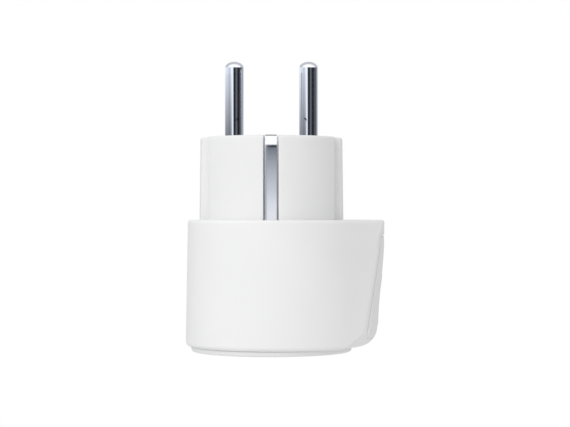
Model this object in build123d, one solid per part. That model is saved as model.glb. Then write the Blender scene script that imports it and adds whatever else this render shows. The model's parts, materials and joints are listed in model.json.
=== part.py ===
from build123d import *
import os
from math import asin, cos, radians, sin, tan

# Plug-in power meter with a round-pin plug, an earthed socket and a push button.
# Millimetres. Origin: centre of the socket mouth, in the plane of the rim that the
# object stands on. +Z points to the plug pins, +X to the slanted button end.

# ---- driving dimensions: plug ----
PIN_SPACING = 19.0
PIN_R = 2.4
PIN_ROOT_R = 2.2
PIN_LENGTH = 19.5
PIN_TIP = 1.65
PIN_COLLAR_R = 3.2
PIN_COLLAR = 1.0
PIN_TAIL_R = 1.5
PIN_TAIL_Z = 45.0
PIN_ROOT_DROP = 0.5
NOSE_R = 18.4
NOSE_DRAFT = 0.7
NOSE_FACE_Z = 54.5
NOSE_FACE_WALL = 2.0
NOSE_CAVITY_R = 16.7
NOSE_CAVITY_HALF_X = 14.4
NOSE_FILLET = 0.7
NOTCH_FLOOR_X = 15.85
NOTCH_INNER_Y = 4.6
NOTCH_OUTER_Y = 9.15
TONGUE_TOP_DROP = 0.2
EARTH_PIN_Y = 10.0
EARTH_PIN_HOLE_R = 2.7
EARTH_SLOT_WIDTH = 3.8
EARTH_SLOT_DEPTH = 1.3
EARTH_SLOT_PLAY = 0.3
EARTH_STRIP_WIDTH = 3.0
EARTH_STRIP_THICKNESS = 0.8
EARTH_STRIP_Y = 18.12
EARTH_STRIP_TOP_DROP = 0.3
EARTH_BEVEL_HEIGHT = 2.0
EARTH_BEVEL_SETBACK = 0.9
EARTH_BEVEL_INNER = 0.3
PIN_BOSS_R = 4.1
PIN_BORE_PLAY = 0.03
SCREW_BOSS_R = 2.4
SCREW_BORE_R = 1.25
SCREW_BORE_DEPTH = 3.2
EARTH_BOSS_R = 4.4
EARTH_BOSS_HEIGHT = 1.5
TONGUE_TOP_X = 16.25
BOARD_RIB = (1.6, 1.2)
BOARD_RIB_X = 16.4
BOARD_RIB_ANGLES = (30, 150, 210, 330)
BOARD_RIB_OVERLAP = 0.5

# ---- driving dimensions: housing ----
HOUSING_TOP_Z = 33.5
HOUSING_BOTTOM_Z = 1.35
HOUSING_R = 21.95
HOUSING_DRAFT = 1.0
SIDE_ARC_R = 30.0
SIDE_ARC_X = 19.0
END_R = 17.3
END_R_GROWTH = 0.18
END_TOP_R = 50.0
END_ARC_DEG = 45.0
END_X = 28.85
END_BEND_Z = 26.0
END_FLAT_Z = 29.5
END_SLANT = 5.0
END_CORNER_R = 5.0
END_BLEND_R = 3.0
RIM_FILLET = 0.6
FOOT_FILLET = 1.2
WALL = 1.4
END_WALL = 2.4
FLOOR = 1.65
LEDGE = 0.8
LID_TOP_Z = 33.3
LID_THICKNESS = 2.0
LID_GAP = 0.12
CAVITY_CORNER_R = 3.0
LEDGE_HEIGHT = 1.0
LEDGE_OVERLAP = 0.1
SEAT_PLAY = 0.03
OVERSIZE = 5.0

# ---- driving dimensions: socket ----
RIM_R = 20.5
RIM_HEIGHT = 1.3
CUP_R = 20.1
CUP_OPENING_R = 20.25
RECESS_R = 19.0
RECESS_DEPTH = 17.5
CUP_FLOOR = 2.0
SOCKET_HOLE_R = 2.75
GUIDE_RIB_WIDTH = 4.0
GUIDE_RIB_DEPTH = 2.3
GUIDE_RIB_Y = 6.9
CLIP_WIDTH = 4.0
CLIP_THICKNESS = 0.7
CLIP_PATH = ((-0.75, 24.5), (-0.75, 20.2), (-0.15, 16.6), (-1.4, 9.5), (-1.4, 7.5), (0.05, 2.6))
CLIP_SLOT_GAP = 0.3
CLIP_SLOT_DEPTH = 1.6
CLIP_SLOT_Z = 2.2
RIM_EDGE_FILLET = 0.7
MOUTH_CHAMFER = 0.3
GUIDE_RIB_Z = 1.5
GUIDE_RIB_ROOT = 0.9
LUG_ROOT = 0.3
LUG_HALF = 2.0
LUG_Z = 3.1
LUG_HEIGHT = 1.0
LUG_R = 20.42
SNAP_ANGLES = (45, 135, 225, 315)
COVER_POST_ANGLES = (60, 120, 240, 300)
COVER_POST_PLACE = 13.8
COVER_POST_R = 1.1
COVER_PLAY = 0.05

# ---- driving dimensions: shutter and contacts ----
SHUTTER_Z = 19.8
SHUTTER_THICKNESS = 1.2
SHUTTER_WING_R = 3.3
SHUTTER_HUB_R = 4.2
HUB_R = 1.9
HUB_GAP = 0.2
PIVOT_R = 1.2
PIVOT_PLAY = 0.05
SHUTTER_ARM = 2.7
SPRING_WIRE_R = 0.22
SPRING_R = 2.6
SPRING_PITCH = 0.55
SPRING_HEIGHT = 1.4
SPRING_Z = 21.45
COVER_Z = 23.3
COVER_THICKNESS = 1.0
COVER_R = 15.2
COVER_HOLE_R = 2.9
CONTACT_Z = 24.5
CONTACT_TOP = 36.4
CONTACT_SHEET = 0.6
CONTACT_GAP = 5.1
CONTACT_WIDTH = 6.0
CONTACT_LEAD = 0.5
CONTACT_LEAD_HEIGHT = 3.0
CONTACT_TAIL = (0.8, 0.4)

# ---- driving dimensions: panel and button ----
PANEL_TOP_Z = 29.4
PANEL_BOTTOM_Z = 3.6
PANEL_HALF_TOP = 6.1
PANEL_HALF_BOTTOM = 10.3
PANEL_CORNER_R = 1.8
PANEL_SINK = 0.04
PANEL_THICKNESS = 1.1
PANEL_GAP = 0.4
PANEL_FOOT_GAP = 0.08
BUTTON_Z = 13.1
BUTTON_LENGTH = 13.0
BUTTON_WIDTH = 6.8
BUTTON_PROUD = -0.1
BUTTON_DISH = 0.22
BUTTON_GAP = 0.18
BUTTON_FLANGE = 1.0
BUTTON_BACK = 3.55
BUTTON_TRAVEL = 0.5
SWITCH_TOP = 4.2
SWITCH_HEIGHT = 1.5
SWITCH_R = 1.6
SWITCH_SIDE = 6.0
SWITCH_WELL_PLAY = 0.06
SWITCH_WELL_SPARE = 0.55
PLUNGER_TOP_GAP = 0.02
PLUNGER_ENTRY = 0.45
BUTTON_LIP = 0.7
BUTTON_BOARD = 0.9
BUTTON_BOARD_WIDTH = 10.0
BUTTON_BOARD_CORNER = 1.0
BUTTON_BOARD_LOW = -5.2
BUTTON_BOARD_HIGH = 13.2
PANEL_CUT_X = 14.0
END_OPENING_REACH = 4.0
LED_HEIGHT = 11.3
LED_R = 1.0
LED_SHELL_PLAY = 0.1
LED_PANEL_PLAY = 0.05
LED_LENS_SINK = 0.05
LED_LENS_GAP = 0.8
LED_COLLAR = (1.7, 0.8)
LED_CHIP = (1.6, 0.8, 0.7)
WIRE_PLACES = (-2.4, -0.8, 0.8, 2.4)
WIRE_R = 0.35
WIRE_BEND_R = 1.4
WIRE_RUN_Z = 29.6
WIRE_DROP_X = 13.6
WIRE_LIFT = 0.06

# ---- driving dimensions: boards ----
BOARD_Z = 37.2
BOARD_THICKNESS = 1.2
BOARD_R = 16.3
BOARD_HALF_X = 14.2
PLATE_Z = 47.9
PLATE_THICKNESS = 1.5
PLATE_R = 15.6
PLATE_HALF_X = 13.8
PLATE_PIN_PLAY = 0.05
PLATE_SCREW_HOLE_R = 1.35
PLATE_EARTH_HOLE_R = 3.4
SCREW_PLACES = ((-6.5, -8.6), (6.5, -8.6))
SCREW_R = 1.2
SCREW_LENGTH = 3.0
SCREW_HEAD_R = 2.1
SCREW_HEAD = 1.4
SCREW_HEAD_FILLET = 0.6
SCREW_SLOT = (1.3, 0.25, 0.7)
SLEEVE_R = 3.2
SLEEVE_BORE_R = 2.5
SLEEVE_Z = 40.5
SLEEVE_FLOOR = 0.8
SLEEVE_TOP_GAP = 1.6
SLEEVE_SLIT = 0.3
SLEEVE_SLIT_Z = 44.0
BRIDGE_Z = 24.5
BRIDGE_THICKNESS = 0.7
BRIDGE_HALF = 2.0
BRIDGE_OVERREACH = 0.6
BUSBAR_HALF = 1.5
BUSBAR_HALF_SHEET = 0.4
BUSBAR_FOOT = (1.4, 44.4)

# ---- driving dimensions: relay ----
RELAY_CASE = (-7.5, 7.5, 4.8, 14.4)
RELAY_CASE_Z = 25.5
RELAY_BASE_Z = 35.6
RELAY_BASE_TOP = 36.9
RELAY_CASE_WALL = (0.6, 0.5)
RELAY_POST = (-6.8, -5.6, 9.0, 10.2)
RELAY_AXIS = (9.6, 30.2)
COIL_X = (-5.1, 1.9)
COIL_R = 2.6
COIL_BORE_R = 1.3
COIL_FLANGES = ((-5.5, -5.0), (1.8, 2.3))
COIL_FLANGE_R = 2.9
IRON_Y = (6.6, 12.6)
YOKE_X = (-6.5, 3.2)
YOKE_Z = (26.2, 33.2)
YOKE_SHEET = 0.9
CORE_X = (-5.7, 2.9)
CORE_R = 1.25
POLE_X = 2.4
POLE_R = 1.8
ARMATURE_X = (3.45, 4.25)
ARMATURE_Z = (26.8, 33.4)
BLADE_Y = (8.2, 11.0)
BLADE_SHEET = 0.25
BLADE_Z = (28.0, 35.2)
CONTACT_BUTTON_R = 0.75
CONTACT_BUTTON_Z = 34.4
MOVING_BUTTON_X = (3.55, 4.3)
FIXED_BUTTON_X = (2.65, 3.02)
FIXED_POST_X = (2.2, 2.7)
FIXED_POST_Z = 33.5

# ---- driving dimensions: parts on the boards ----
SHUNT_X = (2.0, 9.0)
SHUNT_Y = (-8.4, -7.4)
SHUNT_Z = (33.6, 34.4)
SHUNT_LEG = 0.8
CHIP_X = (-6.5, -1.5)
CHIP_Y = (-9.5, -6.0)
CHIP_DROP = (1.5, 0.1)
CHIP_LEG = (0.4, 0.4)
CHIP_LEG_Y = (-10.2, -5.3)
CHIP_LEG_X = -6.0
CHIP_LEG_PITCH = 1.27
CHIP_LEGS = 4
INPUT_CAN = (0.0, -4.6, 4.0, 8.4)
OUTPUT_CAN = (-11.0, -6.2, 2.5, 7.0)
CAN_FILLET = 0.4
CAN_GROOVE_Z = 1.3
CAN_GROOVE = (0.15, 0.4)
FILM_BOX = (-6.0, 6.0, -14.3, -9.6)
FILM_TOP = 45.8
FILM_FILLET = 0.6
VARISTOR_PLACE = (8.6, 9.0)
VARISTOR_R = 3.4
VARISTOR_HALF = 1.4
VARISTOR_LIFT = 4.3
VARISTOR_FILLET = 0.9
VARISTOR_LEG = (1.6, 0.35, 40.5)
RESISTOR_X = 11.8
RESISTOR_Y = (-7.4, -2.4)
RESISTOR_R = 1.25
RESISTOR_LIFT = 1.8
RESISTOR_FILLET = 0.4
RESISTOR_LEG_Y = (-7.9, -1.9)
RESISTOR_LEG_R = 0.3
INDUCTOR_PLACE = (-8.0, 9.0)
INDUCTOR_FLANGE = (3.0, 1.0)
INDUCTOR_WAIST_R = 2.6
INDUCTOR_HEIGHT = 6.0
RECTIFIER_BODY = (-2.4, 2.4, 2.0, 5.6)
RECTIFIER_Z = (0.1, 1.7)
RECTIFIER_LEG_X = (-1.9, 1.3)
RECTIFIER_LEG_Y = (1.2, 6.4)
RECTIFIER_LEG = (0.6, 0.3)
RADIO_HALF = 8.8
RADIO_Y = (-13.2, -12.4)
RADIO_Z = 25.8
SHIELD_BOX = (-6.0, 6.0, -15.2, -13.2, 27.0, 34.0)
SHIELD_SHEET = 0.3
SHIELD_FILLET = 0.7
SWITCHED_X = (9.0, 11.6)
SWITCHED_Y = (4.2, 4.9)
SWITCHED_FOOT = (8.0, 3.0)
SWITCHED_Z = (32.3, 33.0)

# ---- worked out from the above ----
PIN_X = PIN_SPACING / 2
BOARD_TOP = BOARD_Z + BOARD_THICKNESS
PLATE_TOP = PLATE_Z + PLATE_THICKNESS
NOSE_INNER_Z = NOSE_FACE_Z - NOSE_FACE_WALL
BOSS_Z = PLATE_TOP + PIN_COLLAR
LID_Z = LID_TOP_Z - LID_THICKNESS
FLOOR_TOP_Z = RECESS_DEPTH + CUP_FLOOR
HUGE = 80.0


def block(x0, x1, y0, y1, z0, z1):
    """A box between two corners."""
    solid = Box(x1 - x0, y1 - y0, z1 - z0)
    return Pos((x0 + x1) / 2, (y0 + y1) / 2, (z0 + z1) / 2) * solid


def rod(x, y, z0, z1, radius):
    """An upright cylinder from z0 to z1."""
    return Pos(x, y, (z0 + z1) / 2) * Cylinder(radius, z1 - z0)


def rod_x(x0, x1, y, z, radius):
    """A cylinder that lies along X."""
    return Pos((x0 + x1) / 2, y, z) * Rot(0, 90, 0) * Cylinder(radius, x1 - x0)


def rod_y(x, y0, y1, z, radius):
    """A cylinder that lies along Y."""
    return Pos(x, (y0 + y1) / 2, z) * Rot(90, 0, 0) * Cylinder(radius, y1 - y0)


def stadium(length, width):
    """A flat slot shape, its long side along local Y."""
    return Rot(0, 0, 90) * SlotOverall(length, width)


def face_x(z):
    """Where the slanted end face stands at height z, on the centre line."""
    return END_X - (END_BEND_Z - z) * tan(radians(END_SLANT))


def end_plane():
    """Frame on the end face at the button: X along world Y, Z outward."""
    slant = radians(END_SLANT)
    normal = (cos(slant), 0, -sin(slant))
    origin = (face_x(BUTTON_Z), 0, BUTTON_Z)
    return Plane(origin=origin, x_dir=(0, 1, 0), z_dir=normal)


def side_outline(inset, height):
    """Plan of the housing's sides: a half round, two flatter arcs and a point at +X."""
    shrink = inset + (height - HOUSING_BOTTOM_Z) * tan(radians(HOUSING_DRAFT))
    left = HOUSING_R - shrink
    arc = SIDE_ARC_R - shrink
    drop = HOUSING_R - SIDE_ARC_R
    turn = asin(SIDE_ARC_X / SIDE_ARC_R)
    end_x = arc * sin(turn)
    end_y = drop + arc * cos(turn)
    half = turn / 2
    mid_x = arc * sin(half)
    mid_y = drop + arc * cos(half)
    tip_x = end_x + end_y / tan(turn)
    edges = [
        ThreePointArc((0, left), (-left, 0), (0, -left)),
        ThreePointArc((0, -left), (mid_x, -mid_y), (end_x, -end_y)),
        Line((end_x, -end_y), (tip_x, 0)),
        Line((tip_x, 0), (end_x, end_y)),
        ThreePointArc((end_x, end_y), (mid_x, mid_y), (0, left)),
    ]
    return make_face(edges)


def side_form(inset, z0, z1):
    """The drafted sides of the housing between two heights."""
    bottom = Pos(0, 0, z0) * side_outline(inset, z0)
    top = Pos(0, 0, z1) * side_outline(inset, z1)
    return loft([bottom, top], ruled=True)


def bow_radius(z):
    """Radius of the end face's bow: roundest above the bend, nearly flat at the top."""
    if z < END_FLAT_Z:
        return END_R + max(0.0, END_BEND_Z - z) * END_R_GROWTH
    share = (z - END_FLAT_Z) / (HOUSING_TOP_Z - END_FLAT_Z)
    return 1 / ((1 - share) / END_R + share / END_TOP_R)


def end_plan(inset, z):
    """Everything to the left of the end face at height z: a plate with a bowed edge."""
    below = max(0.0, END_BEND_Z - z)
    bow = bow_radius(z) - inset
    end = END_X - below * tan(radians(END_SLANT)) - inset
    centre = end - bow
    turn = radians(END_ARC_DEG)
    shoulder_x = centre + bow * cos(turn)
    shoulder_y = bow * sin(turn)
    edges = [
        Line((shoulder_x, -shoulder_y), (shoulder_x, -HUGE)),
        Line((shoulder_x, -HUGE), (-HUGE, -HUGE)),
        Line((-HUGE, -HUGE), (-HUGE, HUGE)),
        Line((-HUGE, HUGE), (shoulder_x, HUGE)),
        Line((shoulder_x, HUGE), (shoulder_x, shoulder_y)),
        ThreePointArc((shoulder_x, shoulder_y), (end, 0), (shoulder_x, -shoulder_y)),
    ]
    plan = make_face(edges)
    corners = plan.vertices().filter_by(
        lambda v: abs(v.X - shoulder_x) < 0.01 and abs(v.Y) < HUGE - 1
    )
    return Pos(0, 0, z) * fillet(corners, END_BLEND_R)


def end_form(inset, z0, z1, corner):
    """The slanted, bowed end face as the right side of a large plate."""
    upper_z = max(z0, END_BEND_Z)
    levels = [upper_z, END_FLAT_Z, z1] if upper_z < END_FLAT_Z else [upper_z, z1]
    upper = loft([end_plan(inset, z) for z in levels], ruled=True)
    if z0 >= END_BEND_Z:
        return upper
    lower = loft([end_plan(inset, z0), end_plan(inset, END_BEND_Z)], ruled=True)
    if corner > 0:
        foot = lower.edges().filter_by(
            lambda e: abs(e.bounding_box().max.Z - z0) < 0.01
            and e.bounding_box().min.X > 0
        )
        lower = fillet(foot, corner)
    return lower + upper


def housing_form(side_inset, end_inset, z0, z1, corner=0.0, foot=0.0):
    """The housing's shape, moved inwards by an inset for each kind of wall."""
    sides = side_form(side_inset, z0, z1)
    if foot > 0:
        sides = fillet(sides.edges().group_by(Axis.Z)[0], foot)
    return sides & end_form(end_inset, z0, z1, corner)


def panel_prism(grow):
    """The side panel's outline, drawn along X through the end of the housing."""
    half_top = PANEL_HALF_TOP + grow
    half_bottom = PANEL_HALF_BOTTOM + grow
    top = PANEL_TOP_Z + grow
    bottom = PANEL_BOTTOM_Z - min(grow, PANEL_FOOT_GAP)
    outline = Polyline(
        (-half_bottom, bottom), (half_bottom, bottom), (half_top, top),
        (-half_top, top), close=True,
    )
    shape = make_face(outline)
    shape = fillet(shape.vertices(), PANEL_CORNER_R + grow)
    plane = Plane(origin=(PANEL_CUT_X, 0, 0), x_dir=(0, 1, 0), z_dir=(1, 0, 0))
    return extrude(plane * shape, amount=END_X)


def button_opening():
    """The hole around the button, square through the end face."""
    length = BUTTON_LENGTH + 2 * BUTTON_GAP
    width = BUTTON_WIDTH + 2 * BUTTON_GAP
    hole = extrude(stadium(length, width), amount=2 * END_OPENING_REACH)
    return end_plane() * Pos(0, 0, -END_OPENING_REACH) * hole


def light_opening(play):
    """The hole around the light guide."""
    hole = Cylinder(LED_R + play, 2 * END_OPENING_REACH)
    return end_plane() * Pos(0, LED_HEIGHT, -1) * hole


def housing_shell():
    """Drum with a drawn-out end: open at the back, with a socket mouth and a panel seat."""
    body = housing_form(0, 0, HOUSING_BOTTOM_Z, HOUSING_TOP_Z, END_CORNER_R, FOOT_FILLET)
    body = fillet(body.edges().group_by(Axis.Z)[-1], RIM_FILLET)
    floor_z = HOUSING_BOTTOM_Z + FLOOR
    cavity = housing_form(WALL, END_WALL, floor_z, HOUSING_TOP_Z + 1, CAVITY_CORNER_R)
    side = WALL - LEDGE_OVERLAP
    end = END_WALL - LEDGE_OVERLAP
    ledge = housing_form(side, end, LID_Z - LEDGE_HEIGHT, LID_Z)
    side = WALL + LEDGE
    end = END_WALL + LEDGE
    ledge -= housing_form(side, end, LID_Z - LEDGE_HEIGHT - 1, LID_Z + 1)
    mouth = rod(0, 0, 0, floor_z + 1, CUP_OPENING_R)
    depth = PANEL_SINK + PANEL_THICKNESS + SEAT_PLAY
    core = housing_form(-OVERSIZE, depth, HOUSING_BOTTOM_Z, HOUSING_TOP_Z, END_CORNER_R)
    seat = panel_prism(PANEL_GAP) - core
    body = body - cavity + ledge
    return body - mouth - seat - button_opening() - light_opening(LED_SHELL_PLAY)


def side_panel():
    """Bowed plate in the seat of the end face, with button and light openings."""
    low = HOUSING_BOTTOM_Z
    high = HOUSING_TOP_Z
    back = PANEL_SINK + PANEL_THICKNESS
    outer = housing_form(-OVERSIZE, PANEL_SINK, low, high, END_CORNER_R)
    inner = housing_form(-OVERSIZE - 1, back, low, high, END_CORNER_R)
    plate = (panel_prism(0) & outer) - inner
    return plate - button_opening() - light_opening(LED_PANEL_PLAY)


def button_cap():
    """Long push button with a finger dish and end lips behind the wall."""
    high = BUTTON_PROUD + BUTTON_DISH
    cap = extrude(stadium(BUTTON_LENGTH, BUTTON_WIDTH), amount=BUTTON_BACK + high)
    cap = Pos(0, 0, -BUTTON_BACK) * cap
    dish_r = (BUTTON_LENGTH / 2) ** 2 / (2 * BUTTON_DISH)
    dish = Rot(0, 90, 0) * Cylinder(dish_r, 2 * BUTTON_LENGTH)
    dish = Pos(0, 0, BUTTON_PROUD + dish_r) * dish
    lips = stadium(BUTTON_LENGTH + 2 * BUTTON_FLANGE, BUTTON_WIDTH)
    lips = Pos(0, 0, -BUTTON_BACK) * extrude(lips, amount=BUTTON_LIP)
    return end_plane() * (cap - dish + lips)


def led_lens():
    """Light guide from the status light to the panel."""
    front = -LED_LENS_SINK
    back = LED_LENS_GAP - SWITCH_TOP - SWITCH_HEIGHT
    guide = Pos(0, LED_HEIGHT, (front + back) / 2) * Cylinder(LED_R, front - back)
    collar = Pos(0, LED_HEIGHT, -END_WALL - 0.5) * Cylinder(*LED_COLLAR)
    return end_plane() * (guide + collar)


def button_board():
    """Small board behind the button, with clipped corners."""
    middle = (BUTTON_BOARD_LOW + BUTTON_BOARD_HIGH) / 2
    tall = BUTTON_BOARD_HIGH - BUTTON_BOARD_LOW
    board = RectangleRounded(BUTTON_BOARD_WIDTH, tall, BUTTON_BOARD_CORNER)
    board = Pos(0, middle) * board
    back = SWITCH_TOP + SWITCH_HEIGHT + BUTTON_BOARD
    return end_plane() * Pos(0, 0, -back) * extrude(board, amount=BUTTON_BOARD)


def switch_body():
    """Square switch with a round well for its plunger."""
    body = Box(SWITCH_SIDE, SWITCH_SIDE, SWITCH_HEIGHT)
    body = Pos(0, 0, -SWITCH_TOP - SWITCH_HEIGHT / 2) * body
    depth = BUTTON_TRAVEL + SWITCH_WELL_SPARE
    well = Pos(0, 0, -SWITCH_TOP) * Cylinder(SWITCH_R + SWITCH_WELL_PLAY, 2 * depth)
    return end_plane() * (body - well)


def switch_plunger():
    """Round plunger between the switch and the button."""
    top = -BUTTON_BACK - PLUNGER_TOP_GAP
    bottom = -SWITCH_TOP - PLUNGER_ENTRY
    plunger = Cylinder(SWITCH_R, top - bottom)
    return end_plane() * Pos(0, 0, (top + bottom) / 2) * plunger


def status_led():
    """Chip light under the light guide."""
    middle = LED_CHIP[2] / 2 - SWITCH_TOP - SWITCH_HEIGHT
    return end_plane() * Pos(0, LED_HEIGHT, middle) * Box(*LED_CHIP)


def board_wires():
    """Four wires from the button board up to the main board."""
    wires = []
    depth = SWITCH_TOP + SWITCH_HEIGHT + BUTTON_BOARD / 2
    edge = end_plane().from_local_coords(Vector(0, BUTTON_BOARD_HIGH, -depth))
    for y in WIRE_PLACES:
        knots = [
            (edge.X, y, edge.Z + WIRE_LIFT),
            (edge.X, y, WIRE_RUN_Z),
            (WIRE_DROP_X, y, WIRE_RUN_Z),
            (WIRE_DROP_X, y, BOARD_Z),
        ]
        path = FilletPolyline(*knots, radius=WIRE_BEND_R)
        ring = Plane(origin=path @ 0, z_dir=path % 0) * Circle(WIRE_R)
        wires.append(sweep(ring, path=path))
    return Compound(children=wires)


def nose_profile(z0, z1, shrink=0.0):
    """Drafted round of the plug body between two heights."""
    slope = tan(radians(NOSE_DRAFT))
    low = NOSE_R - shrink - (z0 - HOUSING_TOP_Z) * slope
    high = NOSE_R - shrink - (z1 - HOUSING_TOP_Z) * slope
    return Pos(0, 0, (z0 + z1) / 2) * Cone(low, high, z1 - z0)


def keying_notches():
    """What is cut away beside the tongues at both sides of the plug body."""
    cuts = []
    for side in (-1, 1):
        xs = sorted((side * NOTCH_FLOOR_X, side * HUGE))
        for end in (-1, 1):
            ys = sorted((end * NOTCH_INNER_Y, end * NOTCH_OUTER_Y))
            cuts.append(block(*xs, *ys, LID_TOP_Z, NOSE_FACE_Z + 1))
        xs = sorted((side * TONGUE_TOP_X, side * HUGE))
        ys = (-NOTCH_OUTER_Y, NOTCH_OUTER_Y)
        cuts.append(block(*xs, *ys, NOSE_FACE_Z - TONGUE_TOP_DROP, NOSE_FACE_Z + 1))
    return cuts


def earth_slots():
    """The slots in the plug body and its lid that hold the earth strips."""
    cuts = []
    half = EARTH_SLOT_WIDTH / 2
    for side in (-1, 1):
        floor_y = side * (EARTH_STRIP_Y - EARTH_SLOT_DEPTH)
        ys = sorted((floor_y, side * HUGE))
        cuts.append(block(-half, half, *ys, LID_TOP_Z - 0.01, NOSE_FACE_Z + 1))
        ys = sorted((floor_y, side * (EARTH_STRIP_Y + EARTH_SLOT_PLAY)))
        cuts.append(block(-half, half, *ys, LID_Z - 1, LID_TOP_Z))
    return cuts


def board_ribs():
    """Four ribs in the plug body that rest on the main board."""
    ribs = []
    low = BOARD_TOP + 0.1
    limit = rod(0, 0, LID_Z, NOSE_INNER_Z, NOSE_CAVITY_R + BOARD_RIB_OVERLAP)
    for angle in BOARD_RIB_ANGLES:
        rib = Pos(BOARD_RIB_X, 0, (low + NOSE_INNER_Z) / 2)
        rib *= Box(*BOARD_RIB, NOSE_INNER_Z - low)
        ribs.append(Rot(0, 0, angle) * rib & limit)
    return ribs


def plug_nose():
    """Plug body on its lid: keying notches, earth slots, pin bosses and board ribs."""
    body = nose_profile(LID_Z, NOSE_FACE_Z)
    body = fillet(body.edges().group_by(Axis.Z)[-1], NOSE_FILLET)
    body += housing_form(WALL + LID_GAP, END_WALL + LID_GAP, LID_Z, LID_TOP_Z)
    for notch in keying_notches():
        body -= notch
    cavity = rod(0, 0, LID_Z - 1, NOSE_INNER_Z, NOSE_CAVITY_R)
    half = NOSE_CAVITY_HALF_X
    body -= cavity & block(-half, half, -HUGE, HUGE, LID_Z - 1, NOSE_INNER_Z)
    for x in (-PIN_X, PIN_X):
        body += rod(x, 0, BOSS_Z, NOSE_INNER_Z, PIN_BOSS_R)
        body -= rod(x, 0, BOSS_Z - 1, NOSE_FACE_Z + 1, PIN_R + PIN_BORE_PLAY)
    for x, y in SCREW_PLACES:
        body += rod(x, y, PLATE_TOP, NOSE_INNER_Z, SCREW_BOSS_R)
        body -= rod(x, y, PLATE_TOP - 1, PLATE_TOP + SCREW_BORE_DEPTH, SCREW_BORE_R)
    boss_z = NOSE_INNER_Z - EARTH_BOSS_HEIGHT
    body += rod(0, EARTH_PIN_Y, boss_z, NOSE_INNER_Z, EARTH_BOSS_R)
    body -= rod(0, EARTH_PIN_Y, boss_z - 1, NOSE_FACE_Z + 1, EARTH_PIN_HOLE_R)
    for rib in board_ribs():
        body += rib
    for slot in earth_slots():
        body -= slot
    return body


def plug_pin(x):
    """Round pin with a domed tip, a trapped collar and a tail."""
    tip_z = NOSE_FACE_Z + PIN_LENGTH - PIN_TIP
    half = Ellipse(PIN_R, PIN_TIP) & Pos(PIN_R, 0) * Rectangle(2 * PIN_R, 2 * PIN_R)
    tip = revolve(Plane.XZ * half, axis=Axis.Z)
    pin = rod(x, 0, NOSE_FACE_Z, tip_z, PIN_R)
    pin += Pos(x, 0, tip_z) * tip
    pin += rod(x, 0, PLATE_Z - PIN_ROOT_DROP, NOSE_FACE_Z, PIN_ROOT_R)
    pin += rod(x, 0, PLATE_TOP, BOSS_Z, PIN_COLLAR_R)
    return pin + rod(x, 0, PIN_TAIL_Z, PLATE_Z, PIN_TAIL_R)


def pin_plate():
    """Plate that locks the pin collars and the earth sleeve into the plug body."""
    low = PLATE_Z - 1
    high = PLATE_TOP + 1
    plate = rod(0, 0, PLATE_Z, PLATE_TOP, PLATE_R)
    plate &= block(-PLATE_HALF_X, PLATE_HALF_X, -HUGE, HUGE, PLATE_Z, PLATE_TOP)
    for x in (-PIN_X, PIN_X):
        plate -= rod(x, 0, low, high, PIN_R + PLATE_PIN_PLAY)
    for x, y in SCREW_PLACES:
        plate -= rod(x, y, low, high, PLATE_SCREW_HOLE_R)
    return plate - rod(0, EARTH_PIN_Y, low, high, PLATE_EARTH_HOLE_R)


def assembly_screws():
    """Two pan-head screws that hold the pin plate."""
    screws = []
    long, narrow, depth = SCREW_SLOT
    for x, y in SCREW_PLACES:
        head = rod(x, y, PLATE_Z - SCREW_HEAD, PLATE_Z, SCREW_HEAD_R)
        head = fillet(head.edges().group_by(Axis.Z)[0], SCREW_HEAD_FILLET)
        for half_x, half_y in ((long, narrow), (narrow, long)):
            z0 = PLATE_Z - SCREW_HEAD - 1
            head -= block(x - half_x, x + half_x, y - half_y, y + half_y, z0, PLATE_Z - depth)
        screws.append(head + rod(x, y, PLATE_Z, PLATE_TOP + SCREW_LENGTH, SCREW_R))
    return Compound(children=screws)


def earth_sleeve():
    """Slit tube that takes the earth pin of a wall socket."""
    y = EARTH_PIN_Y
    sleeve = rod(0, y, SLEEVE_Z, NOSE_INNER_Z - SLEEVE_TOP_GAP, SLEEVE_R)
    sleeve -= rod(0, y, SLEEVE_Z + SLEEVE_FLOOR, NOSE_INNER_Z, SLEEVE_BORE_R)
    slit = block(-SLEEVE_SLIT, SLEEVE_SLIT, y - SLEEVE_R - 1, y, SLEEVE_SLIT_Z, NOSE_INNER_Z)
    return sleeve - slit


def earth_strip(side):
    """Plug-side earth strip: down the nose and into the housing, bevelled at its top."""
    outer = EARTH_STRIP_Y
    inner = outer - EARTH_STRIP_THICKNESS
    top = NOSE_FACE_Z - EARTH_STRIP_TOP_DROP
    knee = top - EARTH_BEVEL_HEIGHT
    foot = BRIDGE_Z + BRIDGE_THICKNESS
    points = [
        (inner, foot),
        (outer, foot),
        (outer, knee),
        (outer - EARTH_BEVEL_SETBACK, top),
        (inner - EARTH_BEVEL_INNER, top),
        (inner, knee),
    ]
    shape = make_face(Polyline(*points, close=True))
    plane = Plane(origin=(0, 0, 0), x_dir=(0, 1, 0), z_dir=(1, 0, 0))
    half = EARTH_STRIP_WIDTH / 2
    strip = Pos(-half, 0, 0) * extrude(plane * shape, amount=EARTH_STRIP_WIDTH)
    return strip if side > 0 else mirror(strip, about=Plane.XZ)


def earth_clip(side):
    """Sprung earth clip in the wall of the socket cup, bulging into the recess."""
    path = [(RECESS_R + out, z) for out, z in CLIP_PATH]
    outer = [(y + CLIP_THICKNESS, z) for y, z in reversed(path)]
    shape = make_face(Polyline(*path, *outer, close=True))
    plane = Plane(origin=(0, 0, 0), x_dir=(0, 1, 0), z_dir=(1, 0, 0))
    half = CLIP_WIDTH / 2
    clip = Pos(-half, 0, 0) * extrude(plane * shape, amount=CLIP_WIDTH)
    return clip if side > 0 else mirror(clip, about=Plane.XZ)


def earth_bridge():
    """Bar over the socket cup that joins both earth sides."""
    reach = EARTH_STRIP_Y + BRIDGE_OVERREACH
    top = BRIDGE_Z + BRIDGE_THICKNESS
    return block(-BRIDGE_HALF, BRIDGE_HALF, -reach, reach, BRIDGE_Z, top)


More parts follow.
